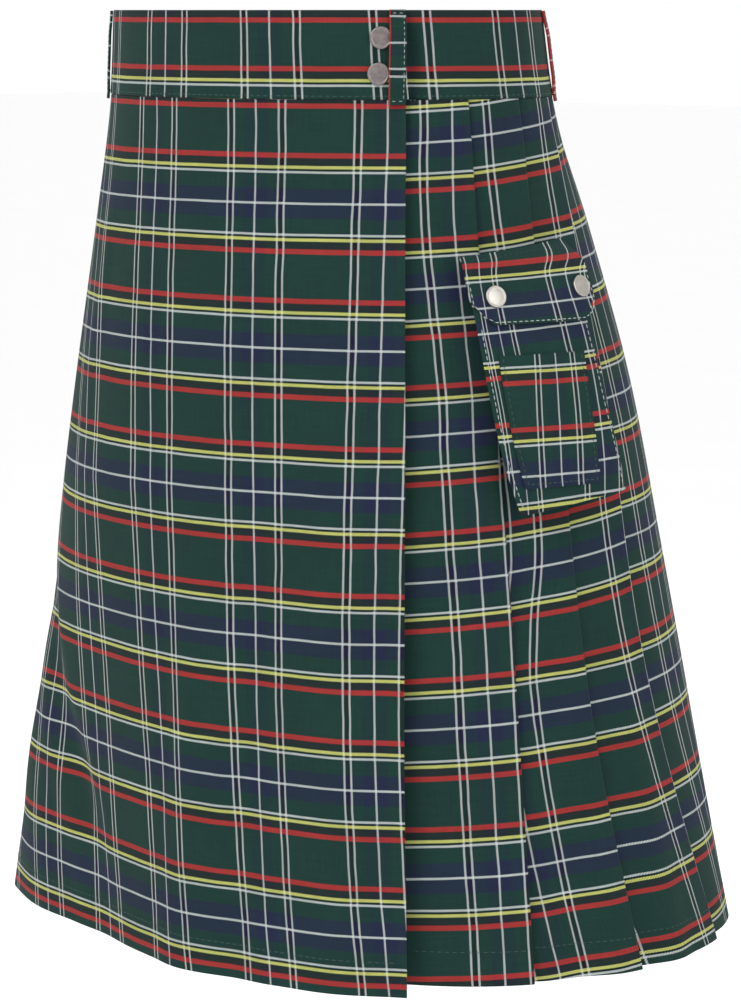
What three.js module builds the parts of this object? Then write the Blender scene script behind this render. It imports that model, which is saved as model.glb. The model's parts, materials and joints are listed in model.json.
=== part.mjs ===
// Pleated utility kilt: a wrap-over skirt in checked cloth, filled out as it hangs when worn.
// Millimetres, +Z up. The origin is the middle of the waist, half way up the waistband.
// -Y is the wearer's front and +X is the wearer's left. Angles run round the body in degrees,
// from 0 at the middle of the front, through 90 at the wearer's left, to 180 at the back.

import * as THREE from 'three';

// ---------------------------------------------------------------- cloth and heights
const CLOTH = 1.1;            // wall of the skirt cloth
const BAND_CLOTH = 2.4;       // wall of the interlined waistband
const SEAM = 0.3;             // clearance between two pieces at a seam
const TUCKED_SEAM = 0.6;      // the same at a seam inside a fold, where the wall's end is slanted
const BAND_TOP = 26;
const BAND_FOOT = -26;
const APRON_HEM = -547;
const PLEAT_HEM = -543;
const UNDER_HEM = -537;

// ---------------------------------------------------------------- plan of the hanging skirt
// Oval sections: half width, half depth, and how far the middle lies behind the waist's.
const SECTIONS = [
  { z: 26, halfWidth: 144.5, halfDepth: 112.5, back: -3.2 },
  { z: -32, halfWidth: 151, halfDepth: 118, back: 1 },
  { z: -106, halfWidth: 168.5, halfDepth: 133, back: 10 },
  { z: -206, halfWidth: 191, halfDepth: 153, back: 20 },
  { z: -306, halfWidth: 209, halfDepth: 168.5, back: 25 },
  { z: -426, halfWidth: 230, halfDepth: 187, back: 29.5 },
  { z: -551, halfWidth: 253, halfDepth: 207, back: 35 },
];

// Angles at which the apron's free edge and the first three pleat folds hang, by height.
const FALL_LINES = [
  { z: 26, apronEdge: 54.6, fold1: 70.6, fold2: 89.3, fold3: 109 },
  { z: -32, apronEdge: 52.8, fold1: 70.6, fold2: 89.3, fold3: 109 },
  { z: -106, apronEdge: 48.6, fold1: 66, fold2: 82.5, fold3: 101 },
  { z: -206, apronEdge: 45, fold1: 63.6, fold2: 79, fold3: 96.5 },
  { z: -366, apronEdge: 42.4, fold1: 61.9, fold2: 76.8, fold3: 94 },
  { z: -551, apronEdge: 40.8, fold1: 60, fold2: 80.3, fold3: 104.5 },
];
const FOLD_KEYS = ['fold1', 'fold2', 'fold3'];
const PLEATS = 12;
const LAST_FOLD = 298;        // the twelfth fold, over the start of the apron
const CLOTH_PER_PLEAT = 110;  // from one folded edge to the next along the cloth
const LEAST_UNDERLAP = 12;
const UNDERLAP_SHARE = 0.78;  // of the pitch, so that no pleat reaches the one before it
const LAST_UNDERLAP = 24;
const FOLD_OPENING = 1.9;     // between the two layers at a folded edge, middle to middle
const FOLD_NOSE = 2.2;
const STACK_TOP = 6.8;        // how far in the inner layer lies under the waistband
const STACK_HEM = 9.4;
const PANEL_BULGE = 3;        // of a panel between its folds, at the hem
const PLEAT_NODES = [
  { name: 'pleats_left', first: 1, last: 4 },
  { name: 'pleats_back', first: 5, last: 8 },
  { name: 'pleats_right', first: 9, last: 12 },
];

// Soft flutes down the apron: middle angle where each starts and at the hem, half width in
// degrees, how far it stands out (in where below 0), the heights where it starts and is full,
// and the share of it that is left at the hem.
const FLUTES = [
  { from: -20, to: -20, half: 40, out: -22, start: -261, full: -566, atHem: 1 },
  { from: -45, to: -18, half: 11, out: -8, start: -306, full: -436, atHem: 0.45 },
  { from: 33, to: 30, half: 11, out: 5, start: -156, full: -306, atHem: 0.8 },
  { from: 17, to: 15, half: 6, out: -3.5, start: -226, full: -386, atHem: 0.8 },
];
const APRON_START = -50;      // where the apron comes level with the pleats
const EDGE_LIFT_TOP = 1.6;    // of the apron's free edge over the pleats
const EDGE_LIFT_HEM = 8;
const EDGE_LIFT_REACH = 18;   // degrees
const UNDER_START = -46;      // free edge of the under-apron
const UNDER_END = 12;         // degrees before the apron's edge, where the pleated length starts
const UNDER_GAP_TOP = 5.2;
const UNDER_GAP_HEM = 14;

const ROWS = [-26, -66, -106, -150, -205, -260, -315, -370, -425, -475, -515];
const APRON_COLUMNS = 40;
const UNDER_COLUMNS = 16;
const PANEL_STEPS = [0.3, 0.55, 0.8];

// ---------------------------------------------------------------- waistband
const BAND_STEP = 5;          // degrees between two sections
const BAND_UNDER_IN = 4.6;    // the under-apron's band lies this far inside
const BAND_LAP = 6;           // degrees of the back band hidden by the front one
const BAND_OVER_OUT = 1.4;    // how far the front band's end rides over the back one
const BAND_OVER_REACH = 16;

const LOOPS = [
  { name: 'belt_loop_front', at: 51.7, lean: 0.9 },
  { name: 'belt_loop_left', at: 116.5, lean: 0 },
  { name: 'belt_loop_back', at: 180, lean: 0 },
  { name: 'belt_loop_right', at: 243.5, lean: 0 },
  { name: 'belt_loop_front_right', at: 309, lean: 0 },
];
const LOOP_WIDTH = 9.5;
const LOOP_CLOTH = 1.5;
const LOOP_PROUD = 3.4;
const LOOP_TOP = 26.5;
const LOOP_FOOT = -29;
const LOOP_STEPS = 8;

// ---------------------------------------------------------------- press studs
const STUD_RADIUS = 6.6;
const STUD_SIDES = 20;
const STUD_PROFILE = [
  { radius: 0, height: 0 },
  { radius: 1, height: 0 },
  { radius: 1, height: 0.55 },
  { radius: 0.93, height: 1 },
  { radius: 0.8, height: 0.86 },
  { radius: 0.45, height: 1.12 },
  { radius: 0, height: 1.22 },
];
const STUD_HEIGHT = 1.9;
const WAIST_STUDS = [
  { name: 'stud_waist_upper', at: 47, z: 10 },
  { name: 'stud_waist_lower', at: 46.2, z: -11 },
];

// ---------------------------------------------------------------- cargo pocket at the left hip
// Corners of the bag's front, across the body as angles, by height.
const POCKET_SIDES = [
  { z: -124, left: 60.3, right: 88.6, proud: 11 },
  { z: -156, left: 60.6, right: 88, proud: 15 },
  { z: -201, left: 60.9, right: 87, proud: 19 },
  { z: -236, left: 62, right: 87.6, proud: 20 },
  { z: -268, left: 64.4, right: 88.8, proud: 18 },
];
const BAG_TOP = -130;
const BAG_FOOT = -263;
const BAG_TILT = 8;           // the bag's foot is higher at the back than at the front
const BAG_CLEAR = 1.8;        // of the gusset's edge from the pleats
const GUSSET_LEAN = 2.2;      // degrees
const BAG_FOOT_RISE = 10;          // from the front's lower edge to the foot's edge on the pleats
const BAG_EDGE_BACK = 3;      // how far the gusset's folded edge lies behind the front
const BAG_STEPS = 8;
const BAG_ROWS = 7;
const BAG_ROUND = 0.12;       // share of the width that turns into the gusset

const FLAP_TOP = -109;
const FLAP_BREAK = -123;
const FLAP_FOOT = -156;
const FLAP_CORNER = 0.13;     // share of the width cut off each lower corner
const FLAP_SIDE_GROWTH = 1.1; // degrees wider than the bag on each side
const FLAP_ABOVE_BAG = 2.6;

const PATCH_TOP = -174;
const PATCH_FOOT = -251;
const PATCH_LEFT = 0.13;      // shares of the bag's width
const PATCH_RIGHT = 0.8;
const PATCH_STEPS = 5;
const PATCH_ROWS = 4;
const POCKET_STUDS = [
  { name: 'stud_flap_left', across: 0.17, z: -140 },
  { name: 'stud_flap_right', across: 0.86, z: -138 },
];

// ---------------------------------------------------------------- finishes
const FINISHES = {
  cloth: { color: 0x2a4a42, roughness: 0.9, metalness: 0 },
  band: { color: 0x2f4a48, roughness: 0.9, metalness: 0 },
  pocket: { color: 0x33504a, roughness: 0.9, metalness: 0 },
  stud: { color: 0x9a968f, roughness: 0.35, metalness: 0.9 },
};

const rad = THREE.MathUtils.degToRad;
const { lerp, smoothstep, clamp } = THREE.MathUtils;

/** Value of one column of a table at height z, by a smooth curve through its rows. */
function columnAt(rows, column, z) {
  const last = rows.length - 1;
  const top = clamp(rows.findIndex((row) => row.z <= z) - 1, 0, last - 1);
  const i = z < rows[last].z ? last - 1 : top;
  const slope = (k) => {
    const a = rows[Math.max(k - 1, 0)];
    const b = rows[Math.min(k + 1, last)];
    return (b[column] - a[column]) / (b.z - a.z);
  };
  const span = rows[i + 1].z - rows[i].z;
  const t = clamp((z - rows[i].z) / span, 0, 1);
  const blend = t * t * (3 - 2 * t);
  return lerp(rows[i][column], rows[i + 1][column], blend)
    + span * (t * (1 - t) ** 2 * slope(i) - t * t * (1 - t) * slope(i + 1));
}

/** 0 at the waistband's lower edge and 1 at the apron's hem. */
function fall(z) {
  return clamp((BAND_FOOT - z) / (BAND_FOOT - APRON_HEM), 0, 1);
}

/** Point at an angle and height, moved out by some millimetres. */
function onBody(degrees, z, out = 0) {
  const a = columnAt(SECTIONS, 'halfWidth', z);
  const b = columnAt(SECTIONS, 'halfDepth', z);
  const sin = Math.sin(rad(degrees));
  const cos = Math.cos(rad(degrees));
  const normal = new THREE.Vector2(b * sin, -a * cos).normalize();
  const back = columnAt(SECTIONS, 'back', z);
  return new THREE.Vector3(a * sin + out * normal.x, back - b * cos + out * normal.y, z);
}

/** Millimetres along the section for one degree, at an angle and height. */
function arcPerDegree(degrees, z) {
  const a = columnAt(SECTIONS, 'halfWidth', z);
  const b = columnAt(SECTIONS, 'halfDepth', z);
  return rad(1) * Math.hypot(a * Math.cos(rad(degrees)), b * Math.sin(rad(degrees)));
}

/** Angle that lies a share of the way along the section from one angle to another. */
function angleAlong(from, to, share, z) {
  const steps = 48;
  const arcs = [0];
  for (let i = 1; i <= steps; i += 1) {
    const middle = lerp(from, to, (i - 0.5) / steps);
    arcs.push(arcs[i - 1] + arcPerDegree(middle, z));
  }
  const goal = share * arcs[steps];
  const i = Math.min(arcs.findLastIndex((arc) => arc <= goal), steps - 1);
  return lerp(from, to, (i + (goal - arcs[i]) / (arcs[i + 1] - arcs[i])) / steps);
}

/**
 * Closed wall of even thickness about a grid of middle points; rows run down, columns along.
 * Its top edge is cut level, and so is its foot unless levelFoot is false.
 */
function clothWall(grid, thickness, levelFoot = true) {
  const rows = grid.length;
  const columns = grid[0].length;
  const cellNormal = (j, i) => {
    const across = grid[j][i + 1].clone().add(grid[j + 1][i + 1]).sub(grid[j][i]).sub(grid[j + 1][i]);
    const down = grid[j + 1][i].clone().add(grid[j + 1][i + 1]).sub(grid[j][i]).sub(grid[j][i + 1]);
    return down.cross(across).normalize();
  };
  const normals = grid.slice(1).map((_, j) => grid[j].slice(1).map((__, i) => cellNormal(j, i)));
  const sideOffset = (j, i) => {
    const near = [[j - 1, i - 1], [j - 1, i], [j, i - 1], [j, i]]
      .filter(([r, c]) => r >= 0 && c >= 0 && r < rows - 1 && c < columns - 1)
      .map(([r, c]) => normals[r][c]);
    const mean = near.reduce((sum, n) => sum.add(n), new THREE.Vector3());
    if (j === 0 || (levelFoot && j === rows - 1)) {
      mean.z = 0;
    }
    mean.normalize();
    const least = Math.max(0.62, Math.min(...near.map((n) => n.dot(mean))));
    return mean.multiplyScalar(thickness / 2 / least);
  };
  const positions = [];
  for (const side of [1, -1]) {
    for (let j = 0; j < rows; j += 1) {
      for (let i = 0; i < columns; i += 1) {
        const point = grid[j][i].clone().addScaledVector(sideOffset(j, i), side);
        positions.push(point.x, point.y, point.z);
      }
    }
  }
  const outer = (j, i) => j * columns + i;
  const inner = (j, i) => rows * columns + outer(j, i);
  const index = [];
  const quad = (a, b, c, d) => index.push(a, b, c, a, c, d);
  for (let j = 0; j < rows - 1; j += 1) {
    for (let i = 0; i < columns - 1; i += 1) {
      quad(outer(j, i), outer(j + 1, i), outer(j + 1, i + 1), outer(j, i + 1));
      quad(inner(j, i), inner(j, i + 1), inner(j + 1, i + 1), inner(j + 1, i));
    }
    const end = columns - 1;
    quad(outer(j, 0), inner(j, 0), inner(j + 1, 0), outer(j + 1, 0));
    quad(outer(j, end), outer(j + 1, end), inner(j + 1, end), inner(j, end));
  }
  for (let i = 0; i < columns - 1; i += 1) {
    const foot = rows - 1;
    quad(outer(0, i), outer(0, i + 1), inner(0, i + 1), inner(0, i));
    quad(outer(foot, i), inner(foot, i), inner(foot, i + 1), outer(foot, i + 1));
  }
  const geometry = new THREE.BufferGeometry();
  geometry.setAttribute('position', new THREE.Float32BufferAttribute(positions, 3));
  geometry.setIndex(index);
  return geometry;
}

/** Heights of a cloth piece's rows, from just below the band's seam to its hem. */
function rowsTo(hem) {
  return [BAND_FOOT - SEAM, ...ROWS.slice(1), hem];
}

// ---------------------------------------------------------------- pleats

/** Angle of a pleat's folded edge. */
function foldAngle(fold, z) {
  if (fold <= FOLD_KEYS.length) {
    return columnAt(FALL_LINES, FOLD_KEYS[fold - 1], z);
  }
  const third = columnAt(FALL_LINES, 'fold3', z);
  return angleAlong(third, LAST_FOLD, (fold - 3) / (PLEATS - 3), z);
}

/** How far in the inner layer of the pleats lies. */
function stackDepth(z) {
  return lerp(STACK_TOP, STACK_HEM, fall(z));
}

/** Cloth folded back under a pleat's edge, in millimetres. */
function underlap(fold, z) {
  if (fold === PLEATS) {
    return LAST_UNDERLAP;
  }
  const here = foldAngle(fold, z);
  const next = foldAngle(fold + 1, z);
  const pitch = (next - here) * arcPerDegree((here + next) / 2, z);
  const before = (here - foldAngle(Math.max(fold - 1, 1), z)) * arcPerDegree(here, z);
  const room = UNDERLAP_SHARE * (fold > 1 ? Math.min(pitch, before) : pitch);
  return clamp((CLOTH_PER_PLEAT - pitch) / 2, LEAST_UNDERLAP, Math.max(room, LEAST_UNDERLAP));
}

/** Angle and depth of the place where the panel after a fold starts, under that fold. */
function panelStart(fold, z) {
  if (fold === 0) {
    return { degrees: columnAt(FALL_LINES, 'apronEdge', z) - UNDER_END, out: -underGap(z) };
  }
  const edge = foldAngle(fold, z);
  const perDegree = arcPerDegree(edge, z);
  return { degrees: edge - (underlap(fold, z) - FOLD_NOSE) / perDegree, out: -stackDepth(z) };
}

/** Stations round one folded edge and the hidden fold behind it. */
function foldStations(fold, z) {
  const edge = foldAngle(fold, z);
  const perDegree = arcPerDegree(edge, z);
  const nose = FOLD_NOSE / perDegree;
  const inner = edge - underlap(fold, z) / perDegree;
  const depth = stackDepth(z);
  return [
    { degrees: edge - nose, out: 0 },
    { degrees: edge, out: -FOLD_OPENING / 2 },
    { degrees: edge - nose, out: -FOLD_OPENING },
    { degrees: inner + nose, out: FOLD_OPENING - depth },
    { degrees: inner, out: FOLD_OPENING / 2 - depth },
    { degrees: inner + nose, out: -depth },
  ];
}

/** One row of the pleated length, from the panel before the first fold to after the last. */
function pleatedRow(first, last, z) {
  const stations = [];
  for (let fold = first; fold <= last; fold += 1) {
    const start = panelStart(fold - 1, z);
    const folded = foldStations(fold, z);
    const bulge = PANEL_BULGE * fall(z) ** 2;
    if (fold === first) {
      const seam = TUCKED_SEAM / arcPerDegree(start.degrees, z);
      stations.push({ ...start, degrees: start.degrees + seam });
    }
    for (const share of PANEL_STEPS) {
      stations.push({
        degrees: lerp(start.degrees, folded[0].degrees, share),
        out: lerp(start.out, 0, share) + bulge * Math.sin(Math.PI * share),
      });
    }
    stations.push(...folded);
  }
  return stations.map(({ degrees, out }) => onBody(degrees, z, out));
}

function pleats({ name, first, last }) {
  const grid = rowsTo(PLEAT_HEM).map((z) => pleatedRow(first, last, z));
  return piece(name, clothWall(grid, CLOTH), 'cloth');
}

// ---------------------------------------------------------------- front aprons

/** How far the front hangs out of the plain oval, from its soft flutes. */
function fluteOut(degrees, z) {
  return FLUTES.reduce((sum, flute) => {
    const down = clamp((flute.start - z) / (flute.start - APRON_HEM), 0, 1);
    const middle = lerp(flute.from, flute.to, down);
    const aside = Math.abs(degrees - middle) / flute.half;
    if (aside >= 1) {
      return sum;
    }
    const grown = smoothstep(flute.start - z, 0, flute.start - flute.full);
    const left = lerp(1, flute.atHem, smoothstep(down, 0.7, 1));
    return sum + flute.out * grown * left * Math.cos(aside * Math.PI / 2) ** 2;
  }, 0);
}

/** How far out the apron lies, flutes, lifted edge and tucked start included. */
function apronOut(degrees, z) {
  const edge = columnAt(FALL_LINES, 'apronEdge', z);
  const near = clamp(1 - (edge - degrees) / EDGE_LIFT_REACH, 0, 1);
  const lift = lerp(EDGE_LIFT_TOP, EDGE_LIFT_HEM, fall(z)) * near ** 1.5;
  const start = apronStart(z);
  const tucked = clamp((APRON_START - degrees) / (APRON_START - start), 0, 1);
  return fluteOut(degrees, z) + lift - stackDepth(z) * tucked;
}

function underGap(z) {
  return lerp(UNDER_GAP_TOP, UNDER_GAP_HEM, fall(z));
}

/** Angle where the apron starts, under the last pleat. */
function apronStart(z) {
  const start = panelStart(PLEATS, z).degrees - 360;
  return start + TUCKED_SEAM / arcPerDegree(start, z);
}

function apron() {
  const grid = rowsTo(APRON_HEM).map((z) => {
    const start = apronStart(z);
    const edge = columnAt(FALL_LINES, 'apronEdge', z);
    const row = [];
    for (let i = 0; i <= APRON_COLUMNS; i += 1) {
      const degrees = lerp(start, edge, i / APRON_COLUMNS);
      row.push(onBody(degrees, z, apronOut(degrees, z)));
    }
    return row;
  });
  return piece('apron', clothWall(grid, CLOTH), 'cloth');
}

function underApron() {
  const grid = rowsTo(UNDER_HEM).map((z) => {
    const end = panelStart(0, z).degrees;
    const row = [];
    for (let i = 0; i <= UNDER_COLUMNS; i += 1) {
      const degrees = lerp(UNDER_START, end, i / UNDER_COLUMNS);
      const fade = smoothstep(end - degrees, 0, 12);
      row.push(onBody(degrees, z, fluteOut(degrees, z) * fade - underGap(z)));
    }
    return row;
  });
  return piece('under_apron', clothWall(grid, CLOTH), 'cloth');
}

// ---------------------------------------------------------------- waistband

/** How far out the outermost band lies, which is the front one as far as its free end. */
function bandOut(degrees) {
  const edge = columnAt(FALL_LINES, 'apronEdge', 0);
  if (degrees > edge) {
    return -BAND_UNDER_IN * clamp(1 - (degrees - edge + SEAM) / BAND_LAP, 0, 1) ** 2 * 0.6;
  }
  return BAND_OVER_OUT * clamp(1 - (edge - degrees) / BAND_OVER_REACH, 0, 1);
}

function bandLength(name, from, to, outAt) {
  const count = Math.round((to - from) / BAND_STEP);
  const grid = [BAND_TOP, BAND_FOOT].map((z) => {
    const row = [];
    for (let i = 0; i <= count; i += 1) {
      const degrees = lerp(from, to, i / count);
      row.push(onBody(degrees, z, outAt(degrees)));
    }
    return row;
  });
  return piece(name, clothWall(grid, BAND_CLOTH), 'band');
}

function waistband() {
  const edge = columnAt(FALL_LINES, 'apronEdge', 0);
  const seam = SEAM / arcPerDegree(edge, 0);
  const sunk = (degrees) => -BAND_UNDER_IN * (1 - smoothstep(degrees, edge, edge + BAND_LAP));
  const backStart = edge - BAND_LAP;
  return [
    bandLength('waistband_front', LAST_FOLD - 360 + seam, edge, bandOut),
    bandLength('waistband_back', backStart, LAST_FOLD, sunk),
    bandLength('waistband_under', UNDER_START, backStart - seam, () => -BAND_UNDER_IN),
  ];
}

/** Belt loop: a strap sewn down at its two ends that bows out between them. */
function beltLoop({ name, at, lean }) {
  const base = BAND_CLOTH / 2 + LOOP_CLOTH / 2 + SEAM + bandOut(at > 180 ? at - 360 : at);
  const half = LOOP_WIDTH / 2 / arcPerDegree(at, 0);
  const grid = [];
  for (let j = 0; j <= LOOP_STEPS; j += 1) {
    const share = j / LOOP_STEPS;
    const z = lerp(LOOP_TOP, LOOP_FOOT, share);
    const proud = LOOP_PROUD * smoothstep(Math.min(share, 1 - share), 0.04, 0.3);
    const middle = at + lean * z / BAND_TOP;
    grid.push([-1, 0, 1].map((side) => onBody(middle + side * half, z, base + proud)));
  }
  return piece(name, clothWall(grid, LOOP_CLOTH), 'band');
}

// ---------------------------------------------------------------- press studs

function studGeometry() {
  const outline = STUD_PROFILE.map(({ radius, height }) => (
    new THREE.Vector2(radius * STUD_RADIUS, height * STUD_HEIGHT)));
  return new THREE.LatheGeometry(outline, STUD_SIDES);
}

/** Cap set on a point of the cloth, facing the way that the cloth does there. */
function stud(name, point, outward) {
  const cap = piece(name, studGeometry(), 'stud');
  cap.quaternion.setFromUnitVectors(new THREE.Vector3(0, 1, 0), outward);
  cap.position.copy(point);
  return cap;
}

/** Outward direction of a surface given as a function of angle and height. */
function outwardAt(surface, degrees, z) {
  const across = surface(degrees + 1, z).sub(surface(degrees - 1, z));
  const down = surface(degrees, z - 3).sub(surface(degrees, z + 3));
  return down.cross(across).normalize();
}

function waistStuds() {
  return WAIST_STUDS.map(({ name, at, z }) => {
    const surface = (degrees, height) => onBody(degrees, height, bandOut(degrees) + BAND_CLOTH / 2);
    const outward = outwardAt(surface, at, z);
    return stud(name, surface(at, z).addScaledVector(outward, 2 * SEAM), outward);
  });
}

// ---------------------------------------------------------------- cargo pocket

/** Angle at a share of the pocket's width. */
function pocketAngle(share, z) {
  return lerp(columnAt(POCKET_SIDES, 'left', z), columnAt(POCKET_SIDES, 'right', z), share);
}

/** Point on the front of the bag, at a share of its width. */
function pocketFront(share, z, lift = 0) {
  const proud = columnAt(POCKET_SIDES, 'proud', z);
  return onBody(pocketAngle(share, z), z, proud + lift);
}

/** The bag: a front and the gusset round its sides and foot, open at the top and the back. */
function pocketBag() {
  const row = (z, drop) => {
    const points = [];
    const footOf = (share) => z + BAG_TILT * drop * (share - 0.35);
    const gusset = (share, lean) => {
      const height = footOf(share);
      return onBody(pocketAngle(share, height) + lean, height, BAG_CLEAR);
    };
    points.push(gusset(0, GUSSET_LEAN));
    points.push(pocketFront(0, footOf(0), -BAG_EDGE_BACK));
    for (let i = 0; i <= BAG_STEPS; i += 1) {
      const share = lerp(BAG_ROUND / 3, 1 - BAG_ROUND / 3, i / BAG_STEPS);
      points.push(pocketFront(share, footOf(share)));
    }
    points.push(pocketFront(1, footOf(1), -BAG_EDGE_BACK));
    points.push(gusset(1, -GUSSET_LEAN));
    return points;
  };
  const grid = [];
  for (let j = 0; j <= BAG_ROWS; j += 1) {
    grid.push(row(lerp(BAG_TOP, BAG_FOOT, j / BAG_ROWS), j / BAG_ROWS));
  }
  const foot = grid[BAG_ROWS];
  grid.push(foot.map((point, index) => {
    const z = point.z + BAG_FOOT_RISE;
    const left = pocketAngle(0, z) + GUSSET_LEAN;
    const right = pocketAngle(1, z) - GUSSET_LEAN;
    return onBody(lerp(left, right, index / (foot.length - 1)), z, BAG_CLEAR);
  }));
  return piece('pocket_bag', clothWall(grid, CLOTH, false), 'pocket');
}

/** Point on the pocket flap, which lies on the pleats above the bag and breaks over its mouth. */
function flapPoint(across, down, lift = 0) {
  const z = lerp(FLAP_TOP, FLAP_FOOT, down);
  const turned = smoothstep(-z, -FLAP_TOP, -FLAP_BREAK);
  const reach = columnAt(POCKET_SIDES, 'proud', Math.min(z, FLAP_BREAK)) + FLAP_ABOVE_BAG;
  const side = lerp(-1, 1, across) * FLAP_SIDE_GROWTH;
  return onBody(pocketAngle(across, z) + side, z, lerp(BAG_CLEAR, reach, turned) + lift);
}

function pocketFlap() {
  const downs = [0, 0.1, 0.2, 0.3, 0.45, 0.65, 0.85, 1];
  const grid = downs.map((down) => {
    const cut = FLAP_CORNER * clamp((down - 0.65) / 0.35, 0, 1);
    const row = [];
    for (let i = 0; i <= BAG_STEPS; i += 1) {
      row.push(flapPoint(lerp(cut, 1 - cut, i / BAG_STEPS), down));
    }
    return row;
  });
  return piece('pocket_flap', clothWall(grid, CLOTH), 'pocket');
}

function pocketPatch() {
  const grid = [];
  for (let j = 0; j <= PATCH_ROWS; j += 1) {
    const z = lerp(PATCH_TOP, PATCH_FOOT, j / PATCH_ROWS);
    const row = [];
    for (let i = 0; i <= PATCH_STEPS; i += 1) {
      const share = lerp(PATCH_LEFT, PATCH_RIGHT, i / PATCH_STEPS);
      row.push(pocketFront(share, z, CLOTH + SEAM + 0.1));
    }
    grid.push(row);
  }
  return piece('pocket_patch', clothWall(grid, CLOTH), 'pocket');
}

function pocketStuds() {
  return POCKET_STUDS.map(({ name, across, z }) => {
    const down = (z - FLAP_TOP) / (FLAP_FOOT - FLAP_TOP);
    const point = flapPoint(across, down, CLOTH / 2);
    const along = flapPoint(across + 0.02, down).sub(flapPoint(across - 0.02, down));
    const below = flapPoint(across, down + 0.05).sub(flapPoint(across, down - 0.05));
    const outward = below.cross(along).normalize();
    return stud(name, point.addScaledVector(outward, 2.5 * SEAM), outward);
  });
}

// ---------------------------------------------------------------- assembly

function piece(name, geometry, finish) {
  const mesh = new THREE.Mesh(geometry, new THREE.MeshStandardMaterial(FINISHES[finish]));
  mesh.name = name;
  return mesh;
}

const group = new THREE.Group();
group.add(apron(), underApron());
group.add(...PLEAT_NODES.map(pleats));
group.add(...waistband());
group.add(...LOOPS.map(beltLoop));
group.add(...waistStuds());
group.add(pocketBag(), pocketFlap(), pocketPatch());
group.add(...pocketStuds());

export default group;
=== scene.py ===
"""A pleated utility kilt in a green check, filled out as it hangs when it is worn.

The wearer's front is -Y, their left +X, and the origin is the middle of the waist. Sizes in
the classes are millimetres, and angles run round the body in degrees from the middle of the
front, through 90 at the wearer's left. Meshes are in metres.
"""

import json
import logging
import math
from dataclasses import dataclass, field
from enum import Enum
from functools import lru_cache
from typing import Callable, Sequence

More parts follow.
